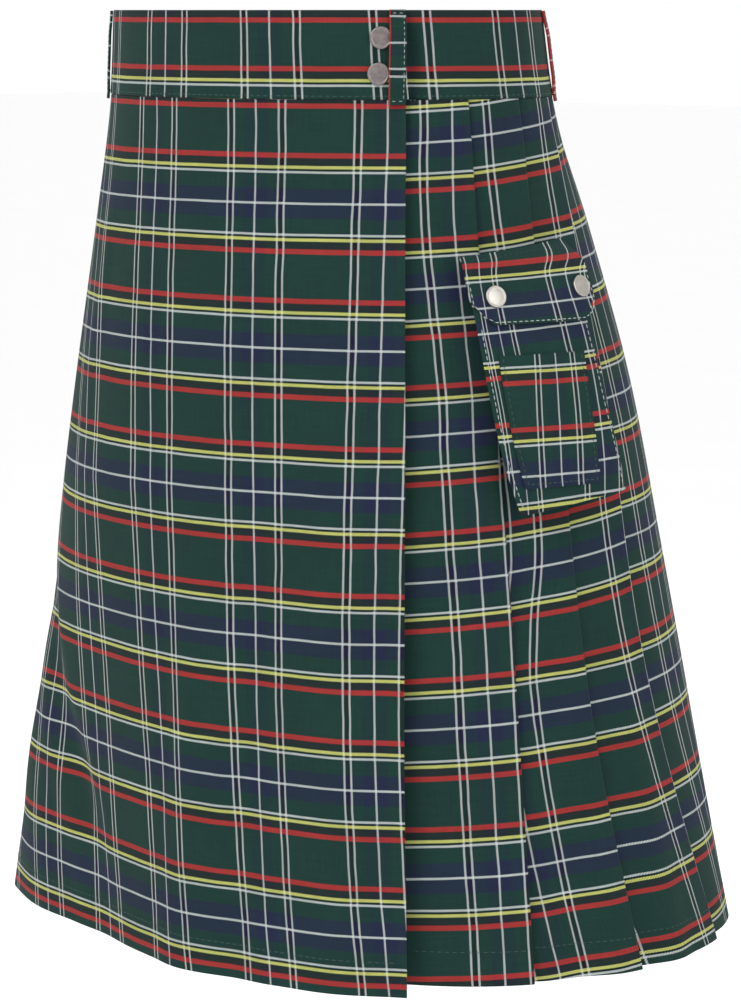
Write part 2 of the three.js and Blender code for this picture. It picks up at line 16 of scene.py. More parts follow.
import bpy
from mathutils import Matrix, Vector
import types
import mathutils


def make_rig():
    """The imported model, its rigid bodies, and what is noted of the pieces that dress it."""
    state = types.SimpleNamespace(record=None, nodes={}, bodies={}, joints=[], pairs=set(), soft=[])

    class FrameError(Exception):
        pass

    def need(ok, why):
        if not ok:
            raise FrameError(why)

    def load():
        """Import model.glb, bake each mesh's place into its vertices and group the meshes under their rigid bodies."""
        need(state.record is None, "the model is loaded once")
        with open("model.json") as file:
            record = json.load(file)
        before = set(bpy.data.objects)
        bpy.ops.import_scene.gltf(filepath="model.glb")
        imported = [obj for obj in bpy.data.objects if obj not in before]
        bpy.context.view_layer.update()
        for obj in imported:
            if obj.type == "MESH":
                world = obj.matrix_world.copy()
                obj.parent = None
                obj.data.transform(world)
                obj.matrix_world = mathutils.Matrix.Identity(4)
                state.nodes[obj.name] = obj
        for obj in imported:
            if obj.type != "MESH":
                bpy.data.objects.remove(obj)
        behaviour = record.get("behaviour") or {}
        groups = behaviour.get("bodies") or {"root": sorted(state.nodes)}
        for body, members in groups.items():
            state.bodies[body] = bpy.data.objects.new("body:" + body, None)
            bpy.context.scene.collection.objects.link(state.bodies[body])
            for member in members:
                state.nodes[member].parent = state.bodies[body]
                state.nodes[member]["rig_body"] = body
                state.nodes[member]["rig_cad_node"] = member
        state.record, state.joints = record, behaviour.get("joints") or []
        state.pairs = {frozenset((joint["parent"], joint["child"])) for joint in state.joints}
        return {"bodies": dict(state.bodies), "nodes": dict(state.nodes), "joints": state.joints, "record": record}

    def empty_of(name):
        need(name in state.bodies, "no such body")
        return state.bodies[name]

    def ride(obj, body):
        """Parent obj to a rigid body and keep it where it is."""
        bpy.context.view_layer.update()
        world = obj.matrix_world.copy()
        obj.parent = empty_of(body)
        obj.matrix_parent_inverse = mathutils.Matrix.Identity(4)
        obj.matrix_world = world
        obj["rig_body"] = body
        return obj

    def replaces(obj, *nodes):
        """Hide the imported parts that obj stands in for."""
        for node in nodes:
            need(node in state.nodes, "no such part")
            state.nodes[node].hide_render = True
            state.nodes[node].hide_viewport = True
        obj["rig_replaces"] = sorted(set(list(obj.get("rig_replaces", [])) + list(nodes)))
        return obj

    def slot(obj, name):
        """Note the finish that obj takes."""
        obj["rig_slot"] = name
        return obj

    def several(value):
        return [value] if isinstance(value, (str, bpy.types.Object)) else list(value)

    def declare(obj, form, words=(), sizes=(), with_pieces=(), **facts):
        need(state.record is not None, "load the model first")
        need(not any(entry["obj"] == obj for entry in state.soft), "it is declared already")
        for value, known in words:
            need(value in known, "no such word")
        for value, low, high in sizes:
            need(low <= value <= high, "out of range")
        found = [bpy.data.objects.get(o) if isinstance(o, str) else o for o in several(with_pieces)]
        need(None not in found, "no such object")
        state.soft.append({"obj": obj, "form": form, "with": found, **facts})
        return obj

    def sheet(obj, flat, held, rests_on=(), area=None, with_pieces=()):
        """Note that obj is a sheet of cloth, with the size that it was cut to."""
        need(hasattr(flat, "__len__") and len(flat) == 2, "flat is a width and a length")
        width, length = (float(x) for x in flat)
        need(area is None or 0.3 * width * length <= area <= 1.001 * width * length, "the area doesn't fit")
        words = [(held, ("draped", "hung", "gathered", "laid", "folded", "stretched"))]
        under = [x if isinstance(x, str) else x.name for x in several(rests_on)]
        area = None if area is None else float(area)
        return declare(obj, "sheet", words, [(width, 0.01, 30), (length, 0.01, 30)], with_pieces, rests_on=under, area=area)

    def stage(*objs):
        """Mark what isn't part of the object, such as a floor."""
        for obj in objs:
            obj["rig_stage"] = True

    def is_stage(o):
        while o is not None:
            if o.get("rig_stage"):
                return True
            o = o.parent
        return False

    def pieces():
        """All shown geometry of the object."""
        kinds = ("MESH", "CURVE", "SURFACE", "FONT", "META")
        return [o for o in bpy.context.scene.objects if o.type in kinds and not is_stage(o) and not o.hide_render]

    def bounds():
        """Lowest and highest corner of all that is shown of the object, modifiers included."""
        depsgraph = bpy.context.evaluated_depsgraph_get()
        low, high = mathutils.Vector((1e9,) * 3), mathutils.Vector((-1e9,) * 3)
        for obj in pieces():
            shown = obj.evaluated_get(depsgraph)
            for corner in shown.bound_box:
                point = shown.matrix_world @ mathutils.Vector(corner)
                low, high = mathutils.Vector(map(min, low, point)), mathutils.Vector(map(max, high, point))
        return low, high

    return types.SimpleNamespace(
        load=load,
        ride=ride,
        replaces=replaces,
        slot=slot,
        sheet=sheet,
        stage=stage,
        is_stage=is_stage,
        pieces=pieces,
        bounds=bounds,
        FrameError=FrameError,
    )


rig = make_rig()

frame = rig.load()
CAD_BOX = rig.bounds()

logger = logging.getLogger("kilt")
MM = 0.001

Grid = list[list[Vector]]
ClothMap = list[list[tuple[float, float]]]
Surface = Callable[[float, float], Vector]


def srgb(red: int, green: int, blue: int) -> tuple[float, float, float, float]:
    """Linear colour of a dyed or painted shade that is known by its display values.

    Args:
        red: Red from 0 to 255.
        green: Green from 0 to 255.
        blue: Blue from 0 to 255.

    Returns:
        The linear red, green and blue, and an alpha of 1.
    """
    shares = (value / 255 for value in (red, green, blue))
    linear = [s / 12.92 if s <= 0.04045 else ((s + 0.055) / 1.055) ** 2.4 for s in shares]
    return (linear[0], linear[1], linear[2], 1.0)


def lerp(start: float, end: float, share: float) -> float:
    """Value a share of the way from start to end."""
    return start + (end - start) * share


def clamp(value: float, low: float = 0.0, high: float = 1.0) -> float:
    """Value kept between low and high."""
    return max(low, min(high, value))


def smooth(value: float, start: float, end: float) -> float:
    """Eased step from 0 at start to 1 at end."""
    share = clamp((value - start) / (end - start))
    return share * share * (3 - 2 * share)


# ------------------------------------------------------------------ tables by height
@dataclass(frozen=True)
class Section:
    """Oval of the hanging skirt at one height, and how far its middle lies behind the waist's."""
    z: float
    half_width: float
    half_depth: float
    back: float


@dataclass(frozen=True)
class FallLine:
    """Angles of the apron's free edge and of the first three folds at one height."""
    z: float
    apron_edge: float
    fold_1: float
    fold_2: float
    fold_3: float


@dataclass(frozen=True)
class PocketSide:
    """Angles of the pocket's two sides at one height, and how far its front stands proud."""
    z: float
    left: float
    right: float
    proud: float


@dataclass(frozen=True)
class FoldCheck:
    z: float
    fold_1: float
    fold_2: float
    fold_3: float


@dataclass(frozen=True)
class WeftRise:
    """How much further down its repeat the check lies than on the apron, at one height.

    The panels run from the apron's edge to the third fold, and each has a left and a right end.
    """
    z: float
    left_1: float
    right_1: float
    left_2: float
    right_2: float
    left_3: float
    right_3: float


@dataclass(frozen=True)
class Grain:
    """Angle of the check's single line at one height, and millimetres of check per degree."""
    z: float
    line: float
    per_degree: float


@dataclass(frozen=True)
class PatchSide:
    """Shares of the bag's width at which the patch ends, at one height."""
    z: float
    left: float
    right: float


@dataclass(frozen=True)
class EdgeCheck:
    """Apron's check at one height: how far its last single line is from the free edge, and the
    millimetres of check drawn in a millimetre of the form. Above 1 the pattern is drawn narrower
    than the modelled cloth; the form doesn't account for it."""
    z: float
    beyond_line: float
    fullness: float


@dataclass(frozen=True)
class CreasePoint:
    """Place of a crease's middle at one height, its half width in degrees, and its depth."""
    z: float
    angle: float
    half: float
    out: float


@dataclass(frozen=True)
class WeftPoint:
    """Distance down the check's repeat that lies at one height of a pocket or band."""
    z: float
    weft: float


SECTIONS = (
    Section(26, 144.5, 112.5, -3.2),
    Section(-32, 151, 118, 1),
    Section(-106, 168.5, 133, 10),
    Section(-206, 191, 153, 20),
    Section(-306, 209, 168.5, 25),
    Section(-426, 230, 187, 29.5),
    Section(-551, 253, 207, 35),
)
FALL_LINES = (
    FallLine(26, 54.6, 70.6, 89.3, 109),
    FallLine(-32, 52.8, 70.6, 89.3, 109),
    FallLine(-106, 48.6, 66, 82.5, 101),
    FallLine(-206, 45, 63.6, 79, 96.5),
    FallLine(-366, 42.4, 61.9, 76.8, 94),
    FallLine(-551, 40.8, 60, 80.3, 104.5),
)
POCKET_SIDES = (
    PocketSide(-124, 60.3, 88.6, 11),
    PocketSide(-156, 60.6, 88, 15),
    PocketSide(-201, 60.9, 87, 19),
    PocketSide(-236, 62, 87.6, 20),
    PocketSide(-268, 64.4, 88.8, 18),
)


FOLD_CHECKS = (
    FoldCheck(-26, 11, 126.5, 245.3),
    FoldCheck(-66, 13.2, 125, 245.3),
    FoldCheck(-107, 14.2, 123, 245),
    FoldCheck(-200, 14.3, 121, 244),
    FoldCheck(-235, 16.2, 120.5, 244),
    FoldCheck(-290, 17, 121, 244),
    FoldCheck(-340, 17.2, 130, 244),
    FoldCheck(-370, 17.5, 134, 244),
    FoldCheck(-480, 17.9, 137.8, 244),
    FoldCheck(-551, 17.9, 137, 244),
)
WEFT_RISES = (
    WeftRise(-26, 35.6, 37.7, 39.2, 43.4, 43.4, 47.6),
    WeftRise(-106, 36.0, 38.4, 38.9, 43.7, 43.9, 47.8),
    WeftRise(-315, 34.4, 39.6, 40.0, 45.3, 44.9, 51.2),
    WeftRise(-360, 34.2, 39.2, 41.2, 45.1, 44.9, 49.3),
    WeftRise(-480, 32.0, 35.2, 37.6, 42.2, 42.6, 45.3),
    WeftRise(-551, 30.3, 33.0, 35.6, 39.8, 41.4, 42.8),
)


@lru_cache(maxsize=None)
def table_value(rows: tuple, column: str, z: float) -> float:
    """Value of one column of a table at a height, by a smooth curve through its rows.

    Args:
        rows: Rows from the highest down, each with a height z.
        column: Name of the column.
        z: Height in millimetres.

    Returns:
        The value, held at the first and last row's beyond them.
    """
    last = len(rows) - 1
    i = next((k - 1 for k, row in enumerate(rows) if row.z <= z), last - 1)
    i = int(clamp(i, 0, last - 1))

    def slope(k: int) -> float:
        """Slope of the curve at a row, from the rows beside it."""
        upper, lower = rows[max(k - 1, 0)], rows[min(k + 1, last)]
        return (getattr(lower, column) - getattr(upper, column)) / (lower.z - upper.z)

    span = rows[i + 1].z - rows[i].z
    t = clamp((z - rows[i].z) / span)
    blend = t * t * (3 - 2 * t)
    ends = lerp(getattr(rows[i], column), getattr(rows[i + 1], column), blend)
    return ends + span * (t * (1 - t) ** 2 * slope(i) - t * t * (1 - t) * slope(i + 1))


# ------------------------------------------------------------------ the hanging form
@dataclass(frozen=True)
class HangingForm:
    """Oval form that the worn skirt hangs on, with its heights and the fall of its folds."""
    band_top: float = 26
    band_foot: float = -26
    apron_hem: float = -547
    pleat_hem: float = -543
    under_hem: float = -537
    seam: float = 0.3
    weft_slant: float = 1.017
    ripple: float = 0.5

    def fall(self, z: float) -> float:
        """0 at the waistband's lower edge and 1 at the apron's hem."""
        return clamp((self.band_foot - z) / (self.band_foot - self.apron_hem))

    def point(self, degrees: float, z: float, out: float = 0.0) -> Vector:
        """Point at an angle and height, moved out by some millimetres."""
        a = table_value(SECTIONS, "half_width", z)
        b = table_value(SECTIONS, "half_depth", z)
        sin, cos = math.sin(math.radians(degrees)), math.cos(math.radians(degrees))
        reach = out / math.hypot(b * sin, a * cos)
        back = table_value(SECTIONS, "back", z)
        return Vector((a * sin + reach * b * sin, back - b * cos - reach * a * cos, z))

    def arc_per_degree(self, degrees: float, z: float) -> float:
        """Millimetres along the oval for one degree."""
        a = table_value(SECTIONS, "half_width", z)
        b = table_value(SECTIONS, "half_depth", z)
        turn = math.radians(degrees)
        return math.radians(1) * math.hypot(a * math.cos(turn), b * math.sin(turn))

    @lru_cache(maxsize=None)
    def arcs(self, start: float, end: float, z: float) -> tuple[float, ...]:
        """Running length along the oval from one angle to another, in 48 steps."""
        steps = 48
        runs = [0.0]
        for i in range(steps):
            middle = lerp(start, end, (i + 0.5) / steps)
            runs.append(runs[-1] + self.arc_per_degree(middle, z))
        return tuple(runs)

    def angle_along(self, start: float, end: float, share: float, z: float) -> float:
        """Angle a share of the way along the oval between two angles.

        Args:
            start: First angle.
            end: Last angle.
            share: From 0 at start to 1 at end.
            z: Height.

        Returns:
            The angle in degrees.
        """
        runs = self.arcs(start, end, z)
        goal = share * runs[-1]
        steps = len(runs) - 1
        i = min(max(k for k, run in enumerate(runs) if run <= goal), steps - 1)
        within = (goal - runs[i]) / (runs[i + 1] - runs[i])
        return lerp(start, end, (i + within) / steps)

    def weft(self, z: float) -> float:
        """Distance down the cloth from the waist seam."""
        return (self.band_foot - z) * self.weft_slant

    def softness(self, degrees: float, z: float) -> float:
        """Faint unevenness of hanging cloth, in millimetres out."""
        loose = 0.4 + self.fall(z)
        slow = math.sin(math.radians(degrees * 5.3) + z * 0.011)
        quick = math.sin(math.radians(degrees * 13.7) - z * 0.023 + 1.3)
        return self.ripple * loose * (0.6 * slow + 0.4 * quick)

    def rows(self, hem: float, step: float) -> list[float]:
        """Heights of a cloth's rows, from just below the waist seam to its hem."""
        top = self.band_foot - self.seam
        count = round((top - hem) / step)
        return [lerp(top, hem, j / count) for j in range(count + 1)]


@dataclass(frozen=True)
class Crease:
    """Soft trough or ridge that runs down the cloth along a short table of places."""
    points: tuple[CreasePoint, ...]

    def out(self, degrees: float, z: float) -> float:
        """How far out it moves the cloth, below 0 for a trough."""
        if z > self.points[0].z or z < self.points[-1].z - 20:
            return 0.0
        middle = table_value(self.points, "angle", z)
        aside = abs(degrees - middle) / table_value(self.points, "half", z)
        if aside >= 1:
            return 0.0
        return table_value(self.points, "out", z) * math.cos(aside * math.pi / 2) ** 2


def crease_out(creases: Sequence[Crease], degrees: float, z: float) -> float:
    """Sum of what several creases do at one place."""
    return sum(crease.out(degrees, z) for crease in creases)


def straight_crease(start: float, end: float, top: float, half: float, out: float) -> Crease:
    """Crease that starts flat at a height and deepens to the hem.

    Args:
        start: Angle where it starts.
        end: Angle at the hem.
        top: Height where it starts.
        half: Half width in degrees.
        out: How far out the cloth stands at the hem.

    Returns:
        The crease.
    """
    hem, halfway_share = -566.0, 0.6
    middle = (top + hem) / 2
    return Crease((
        CreasePoint(top, start, half, 0),
        CreasePoint(middle, (start + end) / 2, half, out * halfway_share),
        CreasePoint(hem, end, half, out),
    ))


# ------------------------------------------------------------------ finishes
class Shade(Enum):
    """Dyed yarns of the check."""
    GREEN = srgb(23, 48, 43)
    FAINT_NAVY = srgb(24, 41, 48)
    NAVY = srgb(31, 28, 60)
    DARK = srgb(29, 25, 29)
    BLACK = srgb(11, 15, 17)
    WHITE = srgb(170, 176, 174)
    YELLOW = srgb(180, 182, 100)
    RED = srgb(154, 42, 42)


@dataclass(frozen=True)
class Stripe:
    """Colour of the check out to some millimetres from the middle of its repeat."""
    reach: float
    shade: Shade


WARP_STRIPES = (
    Stripe(0.6, Shade.WHITE),
    Stripe(7.6, Shade.FAINT_NAVY),
    Stripe(14.5, Shade.GREEN),
    Stripe(15.75, Shade.WHITE),
    Stripe(18.75, Shade.BLACK),
    Stripe(20.0, Shade.WHITE),
    Stripe(40.5, Shade.GREEN),
)
WEFT_STRIPES = (
    Stripe(0.55, Shade.WHITE),
    Stripe(8.9, Shade.NAVY),
    Stripe(17.8, Shade.GREEN),
    Stripe(19.2, Shade.WHITE),
    Stripe(20.6, Shade.BLACK),
    Stripe(22.4, Shade.YELLOW),
    Stripe(26.9, Shade.DARK),
    Stripe(30.1, Shade.RED),
    Stripe(43.3, Shade.GREEN),
)
LINE_SHADES = (Shade.WHITE, Shade.YELLOW, Shade.RED)


class NodeBench:
    """Short way to add nodes to one tree and wire them in a row."""

    def __init__(self, tree: bpy.types.NodeTree) -> None:
        """Keeps the tree that the nodes go into."""
        self.tree = tree

    def add(self, kind: str, inputs: dict | None = None, **settings: object) -> bpy.types.Node:
        """Adds a node.

        Args:
            kind: Blender's node type.
            inputs: A value or an output socket for each named or numbered input.
            settings: Properties of the node.

        Returns:
            The node.
        """
        node = self.tree.nodes.new(kind)
        for name, value in settings.items():
            setattr(node, name, value)
        for socket, value in (inputs or {}).items():
            if isinstance(value, bpy.types.NodeSocket):
                self.tree.links.new(value, node.inputs[socket])
            else:
                node.inputs[socket].default_value = value
        return node

    def math(self, operation: str, *values: object) -> bpy.types.NodeSocket:
        """Adds a Math node on some values or sockets and gives its output."""
        inputs = dict(enumerate(values))
        return self.add("ShaderNodeMath", inputs, operation=operation).outputs[0]

    def mix(self, share: object, first: object, second: object,
            blend: str = "MIX") -> bpy.types.NodeSocket:
        """Adds a colour mix and gives its output.

        Args:
            share: Factor, as a value or socket.
            first: First colour.
            second: Second colour.
            blend: Blend type.

        Returns:
            The mixed colour's socket.
        """
        inputs = {"Factor": share, 6: first, 7: second}
        return self.add("ShaderNodeMix", inputs, data_type="RGBA", blend_type=blend).outputs[2]

    def noise(self, place: bpy.types.NodeSocket, scale: float, detail: float) -> bpy.types.NodeSocket:
        """Adds a noise on a place and gives its value."""
        inputs = {"Vector": place, "Scale": scale, "Detail": detail, "Roughness": 0.55}
        return self.add("ShaderNodeTexNoise", inputs).outputs[0]

    def ramp(self, share: bpy.types.NodeSocket,
             stops: Sequence[tuple[float, tuple]]) -> bpy.types.NodeSocket:
        """Adds a stepped colour ramp.

        Args:
            share: What the ramp reads, from 0 to 1.
            stops: Start and colour of each step.

        Returns:
            The colour's socket.
        """
        node = self.add("ShaderNodeValToRGB", {"Fac": share})
        node.color_ramp.interpolation = "CONSTANT"
        elements = node.color_ramp.elements
        while len(elements) < len(stops):
            elements.new(0.5)
        for element, (start, colour) in zip(elements, stops):
            element.position = start
        for element, (start, colour) in zip(elements, stops):
            element.color = colour
        return node.outputs[0]


def new_group(name: str, inputs: dict[str, str], outputs: dict[str, str]) -> tuple:
    """Starts a shader node group.

    Args:
        name: The group's name.
        inputs: Socket type of each named input.
        outputs: Socket type of each named output.

    Returns:
        The tree, its bench, and its input and output nodes.
    """
    tree = bpy.data.node_groups.new(name, "ShaderNodeTree")
    for label, kind in inputs.items():
        tree.interface.new_socket(name=label, in_out="INPUT", socket_type=kind)
    for label, kind in outputs.items():
        tree.interface.new_socket(name=label, in_out="OUTPUT", socket_type=kind)
    bench = NodeBench(tree)
    return tree, bench, bench.add("NodeGroupInput"), bench.add("NodeGroupOutput")


def stripe_stops(stripes: Sequence[Stripe], colour: Callable[[Shade], tuple]) -> list[tuple[float, tuple]]:
    """Ramp stops of a half repeat.

    Args:
        stripes: Stripes from the middle of the repeat outwards.
        colour: Colour to show for a shade.

    Returns:
        The start, from 0 to 1, and the colour of each stripe.
    """
    half = stripes[-1].reach
    starts = [0.0] + [stripe.reach / half for stripe in stripes[:-1]]
    return [(start, colour(stripe.shade)) for start, stripe in zip(starts, stripes)]


def tartan_group() -> bpy.types.NodeTree:
    """Woven check: where its yarns lie, their colours, and the relief of the twill.

    Returns:
        A group from cloth metres and a tone to a colour, a relief and a roughness.
    """
    wale, yarn, crispness = 1.45, 0.55, 7.0
    even_share, weft_gain, warp_gain = 0.55, 0.17, 0.19
    tree, bench, start, end = new_group(
        "woven_check", {"Cloth": "NodeSocketVector", "Tone": "NodeSocketFloat"},
        {"Color": "NodeSocketColor", "Relief": "NodeSocketFloat", "Roughness": "NodeSocketFloat"})
    cloth = start.outputs["Cloth"]
    drift = bench.math("MULTIPLY", bench.math("SUBTRACT", bench.noise(cloth, 38, 2), 0.5), 1.5)
    parts = bench.add("ShaderNodeSeparateXYZ", {"Vector": cloth})
    across = bench.math("ADD", bench.math("MULTIPLY", parts.outputs[0], 1000.0), drift)
    down = bench.math("ADD", bench.math("MULTIPLY", parts.outputs[1], 1000.0),
                      bench.math("MULTIPLY", drift, 0.45))

    def sett(place: bpy.types.NodeSocket, stripes: Sequence[Stripe]) -> tuple:
        """Colour of the stripes at a place, and a mask of the thin lines among them."""
        half = stripes[-1].reach
        share = bench.math("DIVIDE", bench.math("PINGPONG", place, half), half)
        lines = stripe_stops(stripes, lambda shade: (1, 1, 1, 1) if shade in LINE_SHADES else (0, 0, 0, 1))
        return bench.ramp(share, stripe_stops(stripes, lambda shade: shade.value)), bench.ramp(share, lines)

    warp, warp_line = sett(across, WARP_STRIPES)
    weft, weft_line = sett(down, WEFT_STRIPES)
    twill = bench.math("FRACT", bench.math("DIVIDE", bench.math("ADD", across, down), wale))
    weft_share = bench.math("ADD", even_share, bench.math("MULTIPLY", weft_line, weft_gain))
    weft_share = bench.math("SUBTRACT", weft_share, bench.math("MULTIPLY", warp_line, warp_gain))
    over = bench.math("MULTIPLY", bench.math("SUBTRACT", weft_share, twill), crispness)
    over = bench.add("ShaderNodeClamp", {"Value": bench.math("ADD", over, 0.5)}).outputs[0]
    colour = bench.mix(over, warp, weft)

    streak_place = bench.add("ShaderNodeCombineXYZ", {0: bench.math("MULTIPLY", across, 1.1),
                                                      1: bench.math("MULTIPLY", down, 0.05)})
    pick_place = bench.add("ShaderNodeCombineXYZ", {0: bench.math("MULTIPLY", across, 0.04),
                                                    1: bench.math("MULTIPLY", down, 0.9)})
    streak = bench.noise(streak_place.outputs[0], 1.0, 2)
    pick = bench.noise(pick_place.outputs[0], 1.0, 2)
    broad = bench.noise(cloth, 22, 3)
    tone = bench.math("ADD", 0.42, bench.math("MULTIPLY", streak, 0.45))
    tone = bench.math("ADD", tone, bench.math("MULTIPLY", pick, 0.38))
    tone = bench.math("ADD", tone, bench.math("MULTIPLY", broad, 0.34))
    tone = bench.math("MULTIPLY", tone, start.outputs["Tone"])
    grey = bench.add("ShaderNodeCombineColor", {0: tone, 1: tone, 2: tone}).outputs[0]
    colour = bench.mix(1.0, colour, grey, "MULTIPLY")

    ribs = bench.math("ABSOLUTE", bench.math("SINE", bench.math("MULTIPLY", down, math.pi / yarn)))
    picks = bench.math("ABSOLUTE", bench.math("SINE", bench.math("MULTIPLY", across, math.pi / yarn)))
    yarns = bench.math("ADD", bench.math("MULTIPLY", ribs, over),
                       bench.math("MULTIPLY", picks, bench.math("SUBTRACT", 1.0, over)))
    wave = bench.math("PINGPONG", twill, 0.5)
    relief = bench.math("ADD", bench.math("MULTIPLY", yarns, 0.4), wave)
    relief = bench.math("ADD", relief, bench.math("MULTIPLY", streak, 0.5))
    rough = bench.math("ADD", 0.78, bench.math("MULTIPLY", broad, 0.2))
    bench.tree.links.new(colour, end.inputs["Color"])
    bench.tree.links.new(relief, end.inputs["Relief"])
    bench.tree.links.new(rough, end.inputs["Roughness"])
    return tree


def brushed_group() -> bpy.types.NodeTree:
    """Fine wear of a plated metal cap: a mottled colour share, roughness and pits.

    Returns:
        A group from a place in metres to a shade share, a roughness and a relief.
    """
    tree, bench, start, end = new_group(
        "plated_wear", {"Place": "NodeSocketVector"},
        {"Shade": "NodeSocketFloat", "Roughness": "NodeSocketFloat", "Relief": "NodeSocketFloat"})
    place = start.outputs["Place"]
    clouds = bench.noise(place, 420, 4)
    pits = bench.noise(place, 2600, 2)
    bench.tree.links.new(clouds, end.inputs["Shade"])
    rough = bench.math("ADD", 0.24, bench.math("MULTIPLY", clouds, 0.26))
    bench.tree.links.new(rough, end.inputs["Roughness"])
    bench.tree.links.new(pits, end.inputs["Relief"])
    return tree


def start_material(name: str) -> tuple[bpy.types.Material, NodeBench, bpy.types.Node]:
    """Makes a node material and gives it with its bench and its Principled shader."""
    material = bpy.data.materials.new(name)
    material.use_nodes = True
    bench = NodeBench(material.node_tree)
    return material, bench, material.node_tree.nodes["Principled BSDF"]


@dataclass(frozen=True)
class ClothFinish:
    """Checked worsted of one part of the kilt."""
    name: str
    tone: float = 1.0
    sheen: float = 0.03
    relief: float = 0.35

    def material(self, weave: bpy.types.NodeTree) -> bpy.types.Material:
        """Builds the cloth's material on the shared weave group."""
        material, bench, shader = start_material(self.name)
        place = bench.add("ShaderNodeUVMap", uv_map="Cloth")
        check = bench.add("ShaderNodeGroup", node_tree=weave)
        bench.tree.links.new(place.outputs[0], check.inputs["Cloth"])
        check.inputs["Tone"].default_value = self.tone
        bump = bench.add("ShaderNodeBump", {"Strength": self.relief, "Distance": 0.0003,
                                            "Height": check.outputs["Relief"]})
        bench.tree.links.new(check.outputs["Color"], shader.inputs["Base Color"])
        bench.tree.links.new(check.outputs["Roughness"], shader.inputs["Roughness"])
        bench.tree.links.new(bump.outputs[0], shader.inputs["Normal"])
        shader.inputs["Sheen Weight"].default_value = self.sheen
        shader.inputs["Sheen Roughness"].default_value = 0.45
        shader.inputs["Specular IOR Level"].default_value = 0.1
        return material


@dataclass(frozen=True)
class ThreadFinish:
    """Sewing thread."""
    name: str
    colour: tuple[float, float, float, float]

    def material(self) -> bpy.types.Material:
        """Builds the thread's material, mottled by a fine noise."""
        material, bench, shader = start_material(self.name)
        place = bench.add("ShaderNodeTexCoord").outputs["Object"]
        fuzz = bench.noise(place, 2200, 2)
        dark = tuple(0.55 * value for value in self.colour[:3]) + (1.0,)
        bench.tree.links.new(bench.mix(fuzz, dark, self.colour), shader.inputs["Base Color"])
        bump = bench.add("ShaderNodeBump", {"Strength": 0.4, "Distance": 0.0002, "Height": fuzz})
        bench.tree.links.new(bump.outputs[0], shader.inputs["Normal"])
        shader.inputs["Roughness"].default_value = 0.7
        return material


@dataclass(frozen=True)
class StudFinish:
    """Plated cap of a press stud."""
    name: str
    light: tuple[float, float, float, float]
    dark: tuple[float, float, float, float]

    def material(self, wear: bpy.types.NodeTree) -> bpy.types.Material:
        """Builds the metal on the shared wear group."""
        material, bench, shader = start_material(self.name)
        place = bench.add("ShaderNodeTexCoord").outputs["Object"]
        worn = bench.add("ShaderNodeGroup", node_tree=wear)
        bench.tree.links.new(place, worn.inputs["Place"])
        tint = bench.mix(worn.outputs["Shade"], self.dark, self.light)
        bump = bench.add("ShaderNodeBump", {"Strength": 0.12, "Distance": 0.0002,
                                            "Height": worn.outputs["Relief"]})
        bench.tree.links.new(tint, shader.inputs["Base Color"])
        bench.tree.links.new(worn.outputs["Roughness"], shader.inputs["Roughness"])
        bench.tree.links.new(bump.outputs[0], shader.inputs["Normal"])
        shader.inputs["Metallic"].default_value = 1.0
        return material


@dataclass
class Finishes:
    """All the materials, each built once."""
    cloth: bpy.types.Material = field(init=False)
    band: bpy.types.Material = field(init=False)
    pocket: bpy.types.Material = field(init=False)
    green_thread: bpy.types.Material = field(init=False)
    pale_thread: bpy.types.Material = field(init=False)
    waist_stud: bpy.types.Material = field(init=False)
    flap_stud: bpy.types.Material = field(init=False)

    def __post_init__(self) -> None:
        """Builds the two shared groups and the materials on them."""
        weave, wear = tartan_group(), brushed_group()
        self.cloth = ClothFinish("skirt_check").material(weave)
        self.band = ClothFinish("waistband_check", tone=1.0, relief=0.3).material(weave)
        self.pocket = ClothFinish("pocket_check", tone=1.05).material(weave)
        self.green_thread = ThreadFinish("green_thread", srgb(40, 70, 62)).material()
        self.pale_thread = ThreadFinish("pale_thread", srgb(176, 184, 180)).material()
        self.waist_stud = StudFinish("gunmetal_stud", srgb(150, 142, 140), srgb(98, 92, 92)).material(wear)
        self.flap_stud = StudFinish("nickel_stud", srgb(188, 184, 177), srgb(146, 142, 136)).material(wear)


# ------------------------------------------------------------------ mesh tools
def only_selected(piece: bpy.types.Object) -> None:
    """Selects one object alone and makes it the active one."""
    bpy.ops.object.select_all(action="DESELECT")
    piece.select_set(True)
    bpy.context.view_layer.objects.active = piece


def mesh_piece(name: str, points: Sequence[Vector], faces: Sequence[tuple]) -> bpy.types.Object:
    """Makes an object of points in millimetres, with its place in its mesh."""
    mesh = bpy.data.meshes.new(name)
    mesh.from_pydata([point * MM for point in points], [], faces)
    mesh.validate()
    piece = bpy.data.objects.new(name, mesh)
    bpy.context.collection.objects.link(piece)
    return piece


